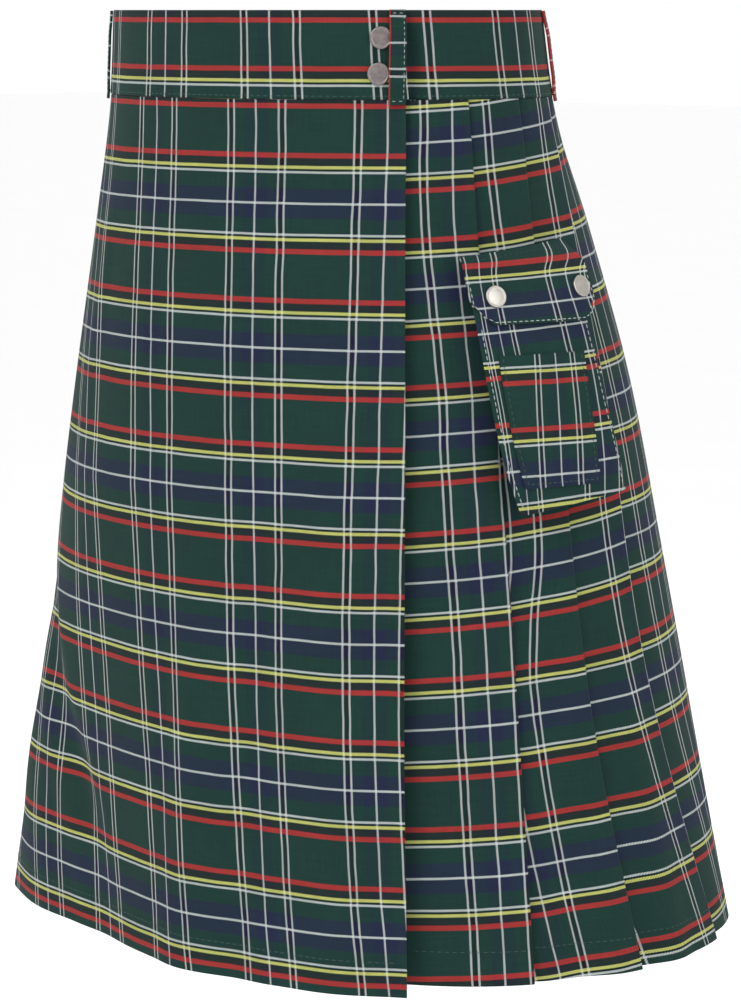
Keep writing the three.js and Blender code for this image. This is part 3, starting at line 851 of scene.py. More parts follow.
def cloth_sheet(name: str, grid: Grid, cloth: ClothMap, thickness: float,
                material: bpy.types.Material, edge_round: float = 0.0) -> bpy.types.Object:
    """Thin closed shell about a grid of middle points, with the cloth's own map on it.

    Args:
        name: The piece's name.
        grid: Rows of points from the top down, each going round the body.
        cloth: For each point, its place across and down the check, in millimetres.
        thickness: Thickness of the cloth.
        material: Its finish.
        edge_round: Width of the rounding of its edges, none at 0.

    Returns:
        The piece.
    """
    columns = len(grid[0])
    faces = []
    for j in range(len(grid) - 1):
        for i in range(columns - 1):
            corner = j * columns + i
            faces.append((corner, corner + columns, corner + columns + 1, corner + 1))
    piece = mesh_piece(name, [point for row in grid for point in row], faces)
    places = [place for row in cloth for place in row]
    layer = piece.data.uv_layers.new(name="Cloth")
    for loop in piece.data.loops:
        across, down = places[loop.vertex_index]
        layer.data[loop.index].uv = (across * MM, down * MM)
    piece.data.materials.append(material)
    only_selected(piece)
    wall = piece.modifiers.new("wall", "SOLIDIFY")
    wall.thickness = thickness * MM
    wall.offset = 0.0
    bpy.ops.object.modifier_apply(modifier=wall.name)
    if edge_round:
        rim = piece.modifiers.new("rim", "BEVEL")
        rim.width = edge_round * MM
        rim.segments = 3
        rim.limit_method = "ANGLE"
        rim.angle_limit = math.radians(60)
        bpy.ops.object.modifier_apply(modifier=rim.name)
    bpy.ops.object.shade_smooth_by_angle(angle=math.radians(50))
    return piece


def row_arcs(row: Sequence[Vector]) -> list[float]:
    """Running length along a row of points."""
    runs = [0.0]
    for first, second in zip(row, row[1:]):
        runs.append(runs[-1] + (second - first).length)
    return runs


@dataclass
class StitchRows:
    """Rows of sewing stitches, joined into one piece."""
    name: str
    material: bpy.types.Material
    length: float = 2.8
    gap: float = 1.5
    thread: float = 0.55
    points: list[Vector] = field(default_factory=list)
    faces: list[tuple] = field(default_factory=list)
    stitch_points: list[Vector] = field(init=False)
    stitch_faces: list[tuple] = field(init=False)

    def __post_init__(self) -> None:
        """Models the one stitch that is then copied along every seam."""
        self.stitch_points, self.stitch_faces = self.model_stitch()

    def model_stitch(self) -> tuple[list[Vector], list[tuple]]:
        """Shapes one stitch along X, fat in the middle and sunk at its ends.

        Returns:
            Its points in millimetres and its faces.
        """
        bpy.ops.object.select_all(action="DESELECT")
        bpy.ops.mesh.primitive_cylinder_add(vertices=6, radius=self.thread / 2, depth=self.length,
                                            rotation=(0, math.pi / 2, 0))
        stitch = bpy.context.active_object
        bpy.ops.object.transform_apply(location=True, rotation=True, scale=True)
        bpy.ops.object.mode_set(mode="EDIT")
        bpy.ops.mesh.select_all(action="SELECT")
        bpy.ops.mesh.bisect(plane_co=(0, 0, 0), plane_no=(1, 0, 0))
        bpy.ops.object.mode_set(mode="OBJECT")
        for vertex in stitch.data.vertices:
            end = abs(vertex.co.x) / (self.length / 2)
            vertex.co.yz = vertex.co.yz * (1 - 0.45 * end ** 2)
            vertex.co.z -= self.thread * 0.35 * end ** 2
        shape = [vertex.co.copy() for vertex in stitch.data.vertices]
        faces = [tuple(polygon.vertices) for polygon in stitch.data.polygons]
        bpy.data.objects.remove(stitch)
        return shape, faces

    def sew(self, path: Sequence[Vector], outward: Sequence[Vector]) -> None:
        """Adds stitches along a path.

        Args:
            path: Points on the cloth's outer face.
            outward: The cloth's outward direction at each of them.
        """
        runs = row_arcs(path)
        count = int(runs[-1] // (self.length + self.gap))
        for k in range(count):
            middle = (k + 0.5) * runs[-1] / count
            i = min(max(n for n, run in enumerate(runs) if run <= middle), len(path) - 2)
            share = (middle - runs[i]) / (runs[i + 1] - runs[i])
            along = (path[i + 1] - path[i]).normalized()
            up = outward[i].lerp(outward[i + 1], share)
            up = (up - along * up.dot(along)).normalized()
            turn = Matrix((along, up.cross(along), up)).transposed()
            place = path[i].lerp(path[i + 1], share) + up * self.thread * 0.2
            base = len(self.points)
            self.points += [place + turn @ point for point in self.stitch_points]
            self.faces += [tuple(base + index for index in face) for face in self.stitch_faces]

    def sew_on(self, surface: Surface, places: Sequence[tuple[float, float]]) -> None:
        """Adds stitches through places of a surface given by two parameters.

        Args:
            surface: Point of the outer face for two parameters.
            places: The parameters along the seam.
        """
        step = 0.01
        path, outward = [], []
        for first, second in places:
            path.append(surface(first, second))
            side = surface(first + step, second) - surface(first - step, second)
            down = surface(first, second - step) - surface(first, second + step)
            outward.append(down.cross(side).normalized())
        self.sew(path, outward)

    def finish(self, slot: str) -> bpy.types.Object:
        """Joins all the stitches into their piece, which rides on the kilt."""
        piece = mesh_piece(self.name, self.points, self.faces)
        piece.data.materials.append(self.material)
        only_selected(piece)
        bpy.ops.object.shade_smooth_by_angle(angle=math.radians(60))
        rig.ride(piece, "root")
        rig.slot(piece, slot)
        logger.info("%s: %d faces", self.name, len(self.faces))
        return piece


def settle(piece: bpy.types.Object, slot: str, *nodes: str) -> bpy.types.Object:
    """Says what a finished piece stands for, and reports it.

    Args:
        piece: The piece.
        slot: The record's material slot.
        nodes: CAD nodes that it replaces.

    Returns:
        The piece.
    """
    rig.ride(piece, "root")
    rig.replaces(piece, *nodes)
    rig.slot(piece, slot)
    logger.info("%s: %d faces", piece.name, len(piece.data.polygons))
    return piece


# ------------------------------------------------------------------ pleated length
PLEAT_CREASES = (
    Crease((CreasePoint(-200, 69, 7, 0), CreasePoint(-330, 68.5, 7, -1.6), CreasePoint(-566, 69, 8, -4.5))),
    Crease((CreasePoint(-270, 87, 6, 0), CreasePoint(-400, 87, 6, 1.8), CreasePoint(-566, 89, 7, 3.5))),
    Crease((CreasePoint(-60, 77, 5, 0), CreasePoint(-95, 77, 5, 1.1), CreasePoint(-150, 74, 5, 0))),
    straight_crease(122, 126, -180, 8, -3.0),
    straight_crease(146, 143, -260, 7, 2.5),
    straight_crease(171, 176, -150, 9, -4.0),
    straight_crease(199, 195, -230, 7, 3.0),
    straight_crease(222, 226, -300, 8, -3.5),
    straight_crease(251, 247, -190, 9, 2.8),
    straight_crease(276, 279, -250, 8, -3.2),
)


@dataclass(frozen=True)
class Pleats:
    """Twelve knife pleats whose folded edges all point the same way round."""
    form: HangingForm
    finishes: Finishes
    cloth: float = 0.9
    count: int = 12
    last_fold: float = 298
    cloth_per_pleat: float = 110
    least_underlap: float = 12
    underlap_share: float = 0.78
    last_underlap: float = 24
    opening: float = 1.9
    nose: float = 2.2
    stack_top: float = 6.8
    stack_hem: float = 9.4
    bulge: float = 3
    first_start: float = 12
    under_gap_top: float = 5.2
    under_gap_hem: float = 14
    tucked_seam: float = 0.6
    row_step: float = 5.2
    panel_steps: int = 20
    known_folds: int = 3
    apron_weft: float = -61.9
    weft_repeat: float = 86.6
    fold_step: float = 0.5
    plain_from: float = 26
    plain_ease: float = 0.3
    hem_stitches: float = 20
    stitch_inset: float = 0.03
    sewn_fade: float = 46
    sewn_reach: float = 0.13
    sewn_tuck: float = 3.3

    def fold_angle(self, fold: int, z: float) -> float:
        """Angle of a pleat's folded edge."""
        if fold <= 3:
            return table_value(FALL_LINES, f"fold_{fold}", z)
        third = table_value(FALL_LINES, "fold_3", z)
        return self.form.angle_along(third, self.last_fold, (fold - 3) / (self.count - 3), z)

    def fold_across(self, fold: int, z: float) -> float:
        known = int(clamp(fold, 1, self.known_folds))
        return table_value(FOLD_CHECKS, f"fold_{known}", z) + (fold - known) * self.cloth_per_pleat

    def stack_depth(self, z: float) -> float:
        """How far in the inner layer of the pleats lies."""
        return lerp(self.stack_top, self.stack_hem, self.form.fall(z))

    def under_gap(self, z: float) -> float:
        """How far the under-apron lies inside the apron."""
        return lerp(self.under_gap_top, self.under_gap_hem, self.form.fall(z))

    def underlap(self, fold: int, z: float) -> float:
        """Cloth folded back under a pleat's edge."""
        if fold == self.count:
            return self.last_underlap
        here, after = self.fold_angle(fold, z), self.fold_angle(fold + 1, z)
        pitch = (after - here) * self.form.arc_per_degree((here + after) / 2, z)
        room = pitch
        if fold > 1:
            before = (here - self.fold_angle(fold - 1, z)) * self.form.arc_per_degree(here, z)
            room = min(pitch, before)
        most = max(self.underlap_share * room, self.least_underlap)
        return clamp((self.cloth_per_pleat - pitch) / 2, self.least_underlap, most)

    def panel_start(self, fold: int, z: float) -> tuple[float, float]:
        """Angle and depth where the panel after a fold starts, under that fold."""
        if fold == 0:
            edge = table_value(FALL_LINES, "apron_edge", z)
            return edge - self.first_start, -self.under_gap(z)
        edge = self.fold_angle(fold, z)
        back = (self.underlap(fold, z) - self.nose) / self.form.arc_per_degree(edge, z)
        return edge - back, -self.stack_depth(z)

    def panel(self, fold: int, z: float, share: float) -> tuple[float, float]:
        """Angle and depth on the panel that ends at a fold, at a share of its width."""
        start, depth = self.panel_start(fold - 1, z)
        edge = self.fold_angle(fold, z)
        end = edge - self.nose / self.form.arc_per_degree(edge, z)
        bulge = self.bulge * self.form.fall(z) ** 2 * math.sin(math.pi * share)
        sewn = 1 - smooth(self.form.band_foot - z, 0, self.sewn_fade)
        hidden = self.hidden_share(fold, z)
        seen = clamp((share - hidden) / (1 - hidden))
        tucked = lerp(depth, max(depth, -self.sewn_tuck), clamp(share / hidden))
        lifted = max(lerp(tucked, 0, smooth(seen, 0, self.sewn_reach)) - lerp(depth, 0, share), 0)
        return lerp(start, end, share), lerp(depth, 0, share) + bulge + sewn * lifted

    def fold_round(self, fold: int, z: float) -> list[tuple[float, float]]:
        """Angles and depths round a folded edge and the hidden fold behind it."""
        edge = self.fold_angle(fold, z)
        per_degree = self.form.arc_per_degree(edge, z)
        nose = self.nose / per_degree
        inner = edge - self.underlap(fold, z) / per_degree
        depth, half = self.stack_depth(z), self.opening / 2
        turns = [math.pi * k / 6 for k in range(1, 7)]
        round_edge = [(edge - nose + nose * math.sin(t), -half + half * math.cos(t)) for t in turns]
        back_end = 2 * half - depth
        layer = [(lerp(edge - nose, inner + nose, k / 5), lerp(-2 * half, back_end, k / 5))
                 for k in range(1, 6)]
        round_inner = [(inner + nose - nose * math.sin(t), back_end - half + half * math.cos(t))
                       for t in turns]
        return round_edge + layer + round_inner

    def surface(self, fold: int, share: float, z: float, out: float = 0.0) -> Vector:
        """Point on the visible panel that ends at a fold."""
        degrees, depth = self.panel(fold, z, share)
        return self.settled(degrees, z, depth + out)

    def settled(self, degrees: float, z: float, out: float) -> Vector:
        """Point with the cloth's creases and unevenness added."""
        soft = crease_out(PLEAT_CREASES, degrees, z) + self.form.softness(degrees, z)
        return self.form.point(degrees, z, out + soft)

    def weft_end(self, fold: int, z: float, side: str) -> float:
        """Args:
            fold: The fold that ends the panel.
            z: Height.
            side: Left or right.

        Returns:
            Millimetres of the check.
        """
        if fold > self.count:
            return self.weft_repeat
        if fold <= self.known_folds:
            return table_value(WEFT_RISES, f"{side}_{fold}", z)
        if side == "left":
            return self.weft_end(fold - 1, z, "right") + self.fold_step
        known = table_value(WEFT_RISES, f"right_{self.known_folds}", z)
        return lerp(known, self.weft_repeat, (fold - self.known_folds) / (self.count - self.known_folds))

    def weft(self, fold: int, z: float, share: float) -> float:
        """Place down the check at a share of a panel's width, from its start under the fold before."""
        hidden = self.hidden_share(fold, z) if fold <= self.count else 0.0
        ends = self.weft_end(fold, z, "left"), self.weft_end(fold, z, "right")
        return self.form.weft(z) + self.apron_weft + lerp(*ends, (share - hidden) / (1 - hidden))

    def eased(self, fold: int, run: float) -> float:
        """Length of check along a run back from a fold. The third panel's pattern is drawn wider
        than its modelled cloth, so that no second pair of lines shows on it."""
        if fold != self.known_folds:
            return run
        return run - self.plain_ease * max(run - self.plain_from, 0)

    def row(self, first: int, last: int, z: float) -> tuple[list[Vector], list[tuple[float, float]]]:
        """One row of the length, from the panel before the first fold to behind the last.

        Args:
            first: First fold.
            last: Last fold.
            z: Height.

        Returns:
            The row's points and their places on the check.
        """
        points: list[Vector] = []
        cloth: list[tuple[float, float]] = []
        for fold in range(first, last + 1):
            shares = [k / self.panel_steps for k in range(self.panel_steps + 1)]
            if fold > first:
                shares = shares[1:]
            places = [self.panel(fold, z, share) for share in shares]
            if fold == first:
                start = places[0]
                gap = self.tucked_seam / self.form.arc_per_degree(start[0], z)
                places[0] = (start[0] + gap, start[1])
            panel = [self.settled(degrees, z, out) for degrees, out in places]
            behind = [self.settled(degrees, z, out) for degrees, out in self.fold_round(fold, z)]
            edge_across = self.fold_across(fold, z)
            runs = row_arcs(panel + behind[:3])
            cloth += [(edge_across - self.eased(fold, runs[-1] - run), self.weft(fold, z, share))
                      for run, share in zip(runs, shares)]
            after = row_arcs([panel[-1]] + behind)[1:]
            ends = self.weft(fold, z, 1), self.weft(fold + 1, z, 0)
            cloth += [(edge_across + run - after[2], lerp(*ends, run / after[-1])) for run in after]
            points += panel + behind
        return points, cloth

    def build(self) -> dict[str, bpy.types.Object]:
        """Builds the three lengths and their hem stitching.

        Returns:
            The cloth pieces by name.
        """
        pieces = {}
        heights = self.form.rows(self.form.pleat_hem, self.row_step)
        thread = StitchRows("pleat_hem_stitches", self.finishes.green_thread)
        for side, first, last in (("left", 1, 4), ("back", 5, 8), ("right", 9, 12)):
            rows = [self.row(first, last, z) for z in heights]
            name = f"cloth_pleats_{side}"
            piece = cloth_sheet(name, [points for points, _ in rows], [cloth for _, cloth in rows],
                                self.cloth, self.finishes.cloth)
            pieces[name] = settle(piece, "cloth", f"pleats_{side}")
        z = self.form.pleat_hem + self.hem_stitches
        for fold in range(1, self.count + 1):
            start = self.hidden_share(fold, z) + self.stitch_inset
            shares = [lerp(start, 0.99, k / 12) for k in range(13)]
            outer = self.cloth / 2

            def face(share: float, height: float) -> Vector:
                """Outer face of this panel."""
                return self.surface(fold, share, height, outer)

            thread.sew_on(face, [(share, z) for share in shares])
        thread.finish("cloth")
        return pieces

    def hidden_share(self, fold: int, z: float) -> float:
        """Share of a panel that the apron or the fold before it covers."""
        start = self.panel_start(fold - 1, z)[0]
        end = self.fold_angle(fold, z)
        cover = table_value(FALL_LINES, "apron_edge", z) if fold == 1 else self.fold_angle(fold - 1, z)
        return (cover - start) / (end - start)


# ------------------------------------------------------------------ aprons
APRON_CREASES = (
    straight_crease(-20, -20, -261, 40, -22.0),
    Crease((CreasePoint(-250, -60, 9, 0), CreasePoint(-300, -57, 9, -2), CreasePoint(-330, -54, 9, -3.5),
            CreasePoint(-359, -49, 10, -5), CreasePoint(-404, -40, 10, -6.5),
            CreasePoint(-443, -31, 10, -6.5), CreasePoint(-487, -22, 9, -4),
            CreasePoint(-566, -14, 8, -0.8))),
    Crease((CreasePoint(-360, -66, 10, 0), CreasePoint(-404, -60, 11, 1), CreasePoint(-450, -50, 12, 2),
            CreasePoint(-500, -40, 12, 3), CreasePoint(-566, -34, 12, 3))),
    Crease((CreasePoint(-156, 33, 11, 0), CreasePoint(-306, 31.5, 11, 5), CreasePoint(-430, 30.5, 11, 5),
            CreasePoint(-566, 30, 11, 4))),
    Crease((CreasePoint(-226, 17, 6, 0), CreasePoint(-386, 16, 6, -3.5), CreasePoint(-566, 15, 6, -2.8))),
    Crease((CreasePoint(-70, -34, 6, 0), CreasePoint(-150, -33, 6, 1.4), CreasePoint(-250, -34, 6, 0))),
    Crease((CreasePoint(-300, 3, 6, 0), CreasePoint(-420, 4, 6, 2.2), CreasePoint(-566, 5, 7, 3))),
)
EDGE_CHECKS = (
    EdgeCheck(26, 10, 1), EdgeCheck(-60, 11, 1), EdgeCheck(-150, 13.5, 1), EdgeCheck(-223, 15.6, 1.01),
    EdgeCheck(-340, 18.4, 1.035), EdgeCheck(-410, 18.2, 1.055), EdgeCheck(-490, 15.6, 1.07),
    EdgeCheck(-551, 11, 1.078),
)


@dataclass(frozen=True)
class Aprons:
    """Outer apron across the front, and the under-apron behind it."""
    form: HangingForm
    finishes: Finishes
    pleats: Pleats
    cloth: float = 0.9
    start_level: float = -50
    edge_lift_top: float = 1.6
    edge_lift_hem: float = 8
    edge_lift_reach: float = 18
    columns: int = 120
    under_start: float = -46
    under_columns: int = 60
    row_step: float = 4.2
    hem_stitches: float = 20

    def start(self, z: float) -> float:
        """Angle where the apron starts, under the last pleat."""
        angle = self.pleats.panel_start(self.pleats.count, z)[0] - 360
        return angle + self.pleats.tucked_seam / self.form.arc_per_degree(angle, z)

    def out(self, degrees: float, z: float) -> float:
        """How far out the apron lies."""
        edge = table_value(FALL_LINES, "apron_edge", z)
        near = clamp(1 - (edge - degrees) / self.edge_lift_reach)
        lift = lerp(self.edge_lift_top, self.edge_lift_hem, self.form.fall(z)) * near ** 1.5
        tucked = clamp((self.start_level - degrees) / (self.start_level - self.start(z)))
        soft = crease_out(APRON_CREASES, degrees, z) * (1 - tucked) + self.form.softness(degrees, z)
        return soft + lift - self.pleats.stack_depth(z) * tucked

    def surface(self, share: float, z: float, out: float = 0.0) -> Vector:
        """Point at a share of the apron's width, moved out."""
        degrees = lerp(self.start(z), table_value(FALL_LINES, "apron_edge", z), share)
        return self.form.point(degrees, z, self.out(degrees, z) + out)

    def outer_apron(self) -> bpy.types.Object:
        """Builds the apron's cloth."""
        grid, cloth = [], []
        for z in self.form.rows(self.form.apron_hem, self.row_step):
            row = [self.surface(i / self.columns, z) for i in range(self.columns + 1)]
            runs = row_arcs(row)
            beyond = table_value(EDGE_CHECKS, "beyond_line", z)
            fullness = table_value(EDGE_CHECKS, "fullness", z)
            weft = self.form.weft(z) + self.pleats.apron_weft
            grid.append(row)
            cloth.append([(beyond - fullness * (runs[-1] - run), weft) for run in runs])
        return cloth_sheet("cloth_apron", grid, cloth, self.cloth, self.finishes.cloth)

    def under_apron(self) -> bpy.types.Object:
        """Builds the under-apron's cloth."""
        grid, cloth = [], []
        for z in self.form.rows(self.form.under_hem, self.row_step * 1.5):
            end = self.pleats.panel_start(0, z)[0]
            row = []
            for i in range(self.under_columns + 1):
                degrees = lerp(self.under_start, end, i / self.under_columns)
                fade = smooth(end - degrees, 0, 12)
                flat = crease_out(APRON_CREASES, degrees, z) * fade - self.pleats.under_gap(z)
                row.append(self.form.point(degrees, z, flat))
            runs = row_arcs(row)
            across = self.pleats.fold_across(0, z) + self.pleats.cloth_per_pleat / 3
            weft = self.pleats.weft(1, z, 0)
            grid.append(row)
            cloth.append([(across + run - runs[-1], weft) for run in runs])
        return cloth_sheet("cloth_under_apron", grid, cloth, self.cloth, self.finishes.cloth)

    def build(self) -> dict[str, bpy.types.Object]:
        """Builds both aprons and the stitching of the outer one.

        Returns:
            The cloth pieces by name.
        """
        apron = settle(self.outer_apron(), "cloth", "apron")
        under = settle(self.under_apron(), "cloth", "under_apron")
        thread = StitchRows("apron_stitches", self.finishes.green_thread)

        def face(share: float, z: float) -> Vector:
            """Outer face of the apron."""
            return self.surface(share, z, self.cloth / 2)

        hem = self.form.apron_hem + self.hem_stitches
        thread.sew_on(face, [(lerp(0.09, 0.985, k / 90), hem) for k in range(91)])
        thread.finish("cloth")
        return {apron.name: apron, under.name: under}


# ------------------------------------------------------------------ waistband
BAND_WEFT = (
    WeftPoint(26, 22.6), WeftPoint(20.4, 28.35), WeftPoint(6, 43.3), WeftPoint(-8.5, 58.4),
    WeftPoint(-15.2, 65.2), WeftPoint(-18.1, 68.1), WeftPoint(-26, 76.2),
)


@dataclass(frozen=True)
class BeltLoop:
    """Strap sewn to the band at both ends, with its grain turned a quarter."""
    node: str
    angle: float
    lean: float = 0.0
    width: float = 9.5
    cloth: float = 1.4
    proud: float = 3.4
    top: float = 26.5
    foot: float = -29
    steps: int = 36
    line_below_top: float = 18.5
    left_weft: float = 28.6

    def surface(self, band: "Waistband", side: float, z: float, out: float = 0.0) -> Vector:
        """Point at a place across the strap, from -1 to 1, moved out."""
        share = (self.top - z) / (self.top - self.foot)
        centre = self.angle - 360 if self.angle > 180 else self.angle
        half = self.width / 2 / band.form.arc_per_degree(self.angle, 0)
        base = band.thickness / 2 + self.cloth / 2 + band.form.seam + band.out(centre)
        rise = self.proud * smooth(min(share, 1 - share), 0.04, 0.3)
        crown = 0.35 * (1 - side ** 4)
        degrees = self.angle + self.lean * z / band.form.band_top + side * half
        return band.form.point(degrees, z, base + rise + crown + out)

    def build(self, band: "Waistband", thread: StitchRows) -> bpy.types.Object:
        """Builds the strap and sews its ends and one edge.

        Args:
            band: The band that carries it.
            thread: Stitch rows that its sewing is added to.

        Returns:
            The strap.
        """
        sides = [k / 4 - 1 for k in range(9)]
        grid, cloth = [], []
        for j in range(self.steps + 1):
            z = lerp(self.top, self.foot, j / self.steps)
            grid.append([self.surface(band, side, z) for side in sides])
            along = self.top - z - self.line_below_top
            cloth.append([(along, self.left_weft + (side + 1) / 2 * self.width) for side in sides])
        piece = cloth_sheet(f"strap_{self.node}", grid, cloth, self.cloth, band.finishes.band, 0.4)

        def face(side: float, z: float) -> Vector:
            """Outer face of the strap."""
            return self.surface(band, side, z, self.cloth / 2)

        inset = 0.75
        thread.sew_on(face, [(inset, lerp(self.top - 3, self.foot + 3, k / 20)) for k in range(21)])
        for end in (self.top - 2.2, self.foot + 2.2):
            thread.sew_on(face, [(lerp(-0.8, 0.8, k / 6), end) for k in range(7)])
        return settle(piece, "band_cloth", self.node)


@dataclass(frozen=True)
class Waistband:
    """Interlined band in three overlapping lengths, with its belt loops."""
    form: HangingForm
    finishes: Finishes
    thickness: float = 2.2
    under_in: float = 4.6
    lap: float = 6
    over_out: float = 1.4
    over_reach: float = 16
    last_fold: float = 298
    under_start: float = -46
    column_step: float = 1.6
    rows: int = 15
    edge_inset: float = 2.0
    dip_share: float = 0.6
    loops: tuple[BeltLoop, ...] = (
        BeltLoop("belt_loop_front", 51.7, lean=0.9, line_below_top=19.4, left_weft=29.3),
        BeltLoop("belt_loop_left", 116.5, proud=1.2, line_below_top=30, left_weft=27.4, top=25.6),
        BeltLoop("belt_loop_back", 180, line_below_top=9, left_weft=33.0, top=25.6),
        BeltLoop("belt_loop_right", 243.5, line_below_top=36, left_weft=27.0, top=25.6),
        BeltLoop("belt_loop_front_right", 309, proud=0.6, line_below_top=22, left_weft=31.0, top=25.6),
    )

    def edge(self) -> float:
        """Angle of the front band's free end."""
        return table_value(FALL_LINES, "apron_edge", 0.0)

    def out(self, degrees: float) -> float:
        """How far out the outermost band lies."""
        edge = self.edge()
        if degrees > edge:
            near = clamp(1 - (degrees - edge + self.form.seam) / self.lap)
            return -self.under_in * near ** 2 * self.dip_share
        return self.over_out * clamp(1 - (edge - degrees) / self.over_reach)

    def length(self, name: str, start: float, end: float, out: Callable[[float], float],
               across_shift: float) -> bpy.types.Object:
        """Builds one length of the band.

        Args:
            name: The piece's name.
            start: Angle of its first end.
            end: Angle of its last end.
            out: How far out it lies at an angle.
            across_shift: Place across the check at the front band's free end.

        Returns:
            The piece.
        """
        count = round((end - start) / self.column_step)
        free_end = self.edge()
        angles = [lerp(start, end, i / count) for i in range(count + 1)]
        flat = [self.form.point(degrees, 0, out(degrees)) for degrees in angles]
        runs = row_arcs(flat)
        nearest = min(range(count + 1), key=lambda i: abs(angles[i] - free_end))
        offset = (free_end - angles[nearest]) * self.form.arc_per_degree(free_end, 0)
        grid, cloth = [], []
        for j in range(self.rows + 1):
            z = lerp(self.form.band_top, self.form.band_foot, j / self.rows)
            soft = [self.form.softness(degrees * 1.6, z) * 0.5 for degrees in angles]
            grid.append([self.form.point(d, z, out(d) + s) for d, s in zip(angles, soft)])
            weft = table_value(BAND_WEFT, "weft", z)
            cloth.append([(run - runs[nearest] - offset + across_shift, weft) for run in runs])
        return cloth_sheet(name, grid, cloth, self.thickness, self.finishes.band, 0.7)

    def build(self) -> dict[str, bpy.types.Object]:
        """Builds the band, its loops and its stitching.

        Returns:
            The pieces by name.
        """
        edge = self.edge()
        seam = self.form.seam / self.form.arc_per_degree(edge, 0)
        back_start = edge - self.lap

        def sunk(degrees: float) -> float:
            """The back band dips under the front one's end."""
            return -self.under_in * (1 - smooth(degrees, edge, edge + self.lap))

        front = self.length("band_front", self.last_fold - 360 + seam, edge, self.out, 0.3)
        back = self.length("band_back", back_start, self.last_fold, sunk, 2.0)
        under = self.length("band_under", self.under_start, back_start - seam,
                            lambda _: -self.under_in, 2.0)
        pieces = {
            "band_front": settle(front, "band_cloth", "waistband_front"),
            "band_back": settle(back, "band_cloth", "waistband_back"),
            "band_under": settle(under, "band_cloth", "waistband_under"),
        }
        thread = StitchRows("band_stitches", self.finishes.green_thread)
        pale = StitchRows("loop_stitches", self.finishes.pale_thread, length=2.0, gap=1.2, thread=0.4)

        def front_face(degrees: float, z: float) -> Vector:
            """Outer face of the front band."""
            return self.form.point(degrees, z, self.out(degrees) + self.thickness / 2)

        def back_face(degrees: float, z: float) -> Vector:
            """Outer face of the back band."""
            return self.form.point(degrees, z, sunk(degrees) + self.thickness / 2)

        foot = self.form.band_foot + self.edge_inset
        start = self.last_fold - 360 + 1
        thread.sew_on(front_face, [(lerp(start, edge - 1, k / 60), foot) for k in range(61)])
        thread.sew_on(back_face, [(lerp(edge + 2, self.last_fold - 1, k / 120), foot) for k in range(121)])
        for loop in self.loops:
            piece = loop.build(self, pale)
            pieces[piece.name] = piece
        thread.finish("band_cloth")
        pale.finish("band_cloth")
        return pieces


# ------------------------------------------------------------------ press studs
@dataclass(frozen=True)
class PressStud:
    """Domed cap with a rolled rim, set on the cloth."""
    node: str
    radius: float = 6.6
    height: float = 1.9
    insets: tuple[tuple[float, float], ...] = (
        (0.06, 0.16), (0.08, 0.04), (0.07, -0.12), (0.16, 0.08), (0.22, 0.07), (0.22, 0.02))

    def build(self, place: Vector, outward: Vector, material: bpy.types.Material,
              slot: str) -> bpy.types.Object:
        """Turns the cap's form from a disc and sets it on the cloth.

        Args:
            place: Point where its foot's middle goes.
            outward: The cloth's outward direction there.
            material: Its finish.
            slot: Its material slot.

        Returns:
            The cap.
        """
        bpy.ops.object.select_all(action="DESELECT")
        bpy.ops.mesh.primitive_cylinder_add(vertices=48, radius=self.radius, depth=self.height * 0.75,
                                            location=(0, 0, self.height * 0.375))
        cap = bpy.context.active_object
        bpy.ops.object.transform_apply(location=True, rotation=True, scale=True)
        bpy.ops.object.mode_set(mode="EDIT")
        bpy.ops.mesh.select_mode(type="FACE")
        bpy.ops.mesh.select_all(action="DESELECT")
        bpy.ops.object.mode_set(mode="OBJECT")
        for polygon in cap.data.polygons:
            polygon.select = polygon.normal.z > 0.9
        bpy.ops.object.mode_set(mode="EDIT")
        for inset, rise in self.insets:
            bpy.ops.mesh.inset(thickness=inset * self.radius, depth=0)
            bpy.ops.transform.translate(value=(0, 0, rise * self.height))
        bpy.ops.object.mode_set(mode="OBJECT")
        rim = cap.modifiers.new("rim", "BEVEL")
        rim.width = 0.22
        rim.segments = 3
        rim.limit_method = "ANGLE"
        rim.angle_limit = math.radians(28)
        bpy.ops.object.modifier_apply(modifier=rim.name)
        bpy.ops.object.shade_smooth_by_angle(angle=math.radians(40))
        turn = Vector((0, 0, 1)).rotation_difference(outward).to_matrix().to_4x4()
        cap.data.transform(Matrix.Scale(MM, 4) @ Matrix.Translation(place) @ turn)
        cap.data.update()
        cap.name = f"cap_{self.node}"
        cap.data.materials.append(material)
        return settle(cap, slot, self.node)


# ------------------------------------------------------------------ cargo pocket
BAG_WEFT = (
    WeftPoint(-109, -58), WeftPoint(-159.5, 0), WeftPoint(-176.2, 18.6), WeftPoint(-185, 28.35),
    WeftPoint(-212.3, 58.3), WeftPoint(-239, 86.6), WeftPoint(-257.9, 105.2), WeftPoint(-275, 124),
)
FLAP_WEFT = (
    WeftPoint(-104, -47), WeftPoint(-109, -41), WeftPoint(-121, -28.35), WeftPoint(-127.5, -21.5),
    WeftPoint(-145, 0), WeftPoint(-156, 12.5), WeftPoint(-162, 19),
)
FLAP_GRAIN = (
    Grain(-104, 91, 2.8), Grain(-114, 90.4, 2.8), Grain(-124, 86, 3.25), Grain(-133, 84.9, 3.36),
    Grain(-162, 84.7, 3.36),
)
BAG_GRAIN = (Grain(-120, 86, 3.6), Grain(-166, 85.6, 3.65), Grain(-255, 83.1, 4.2), Grain(-275, 82.6, 4.3))
PATCH_GRAIN = (
    Grain(-172, 76.6, 4.05), Grain(-205, 74.6, 4.05), Grain(-243, 73.1, 4.1), Grain(-256, 73, 4.1),
)
PATCH_SIDES = (PatchSide(-172, 0.115, 0.87), PatchSide(-212, 0.1, 0.81), PatchSide(-254, 0.09, 0.735))


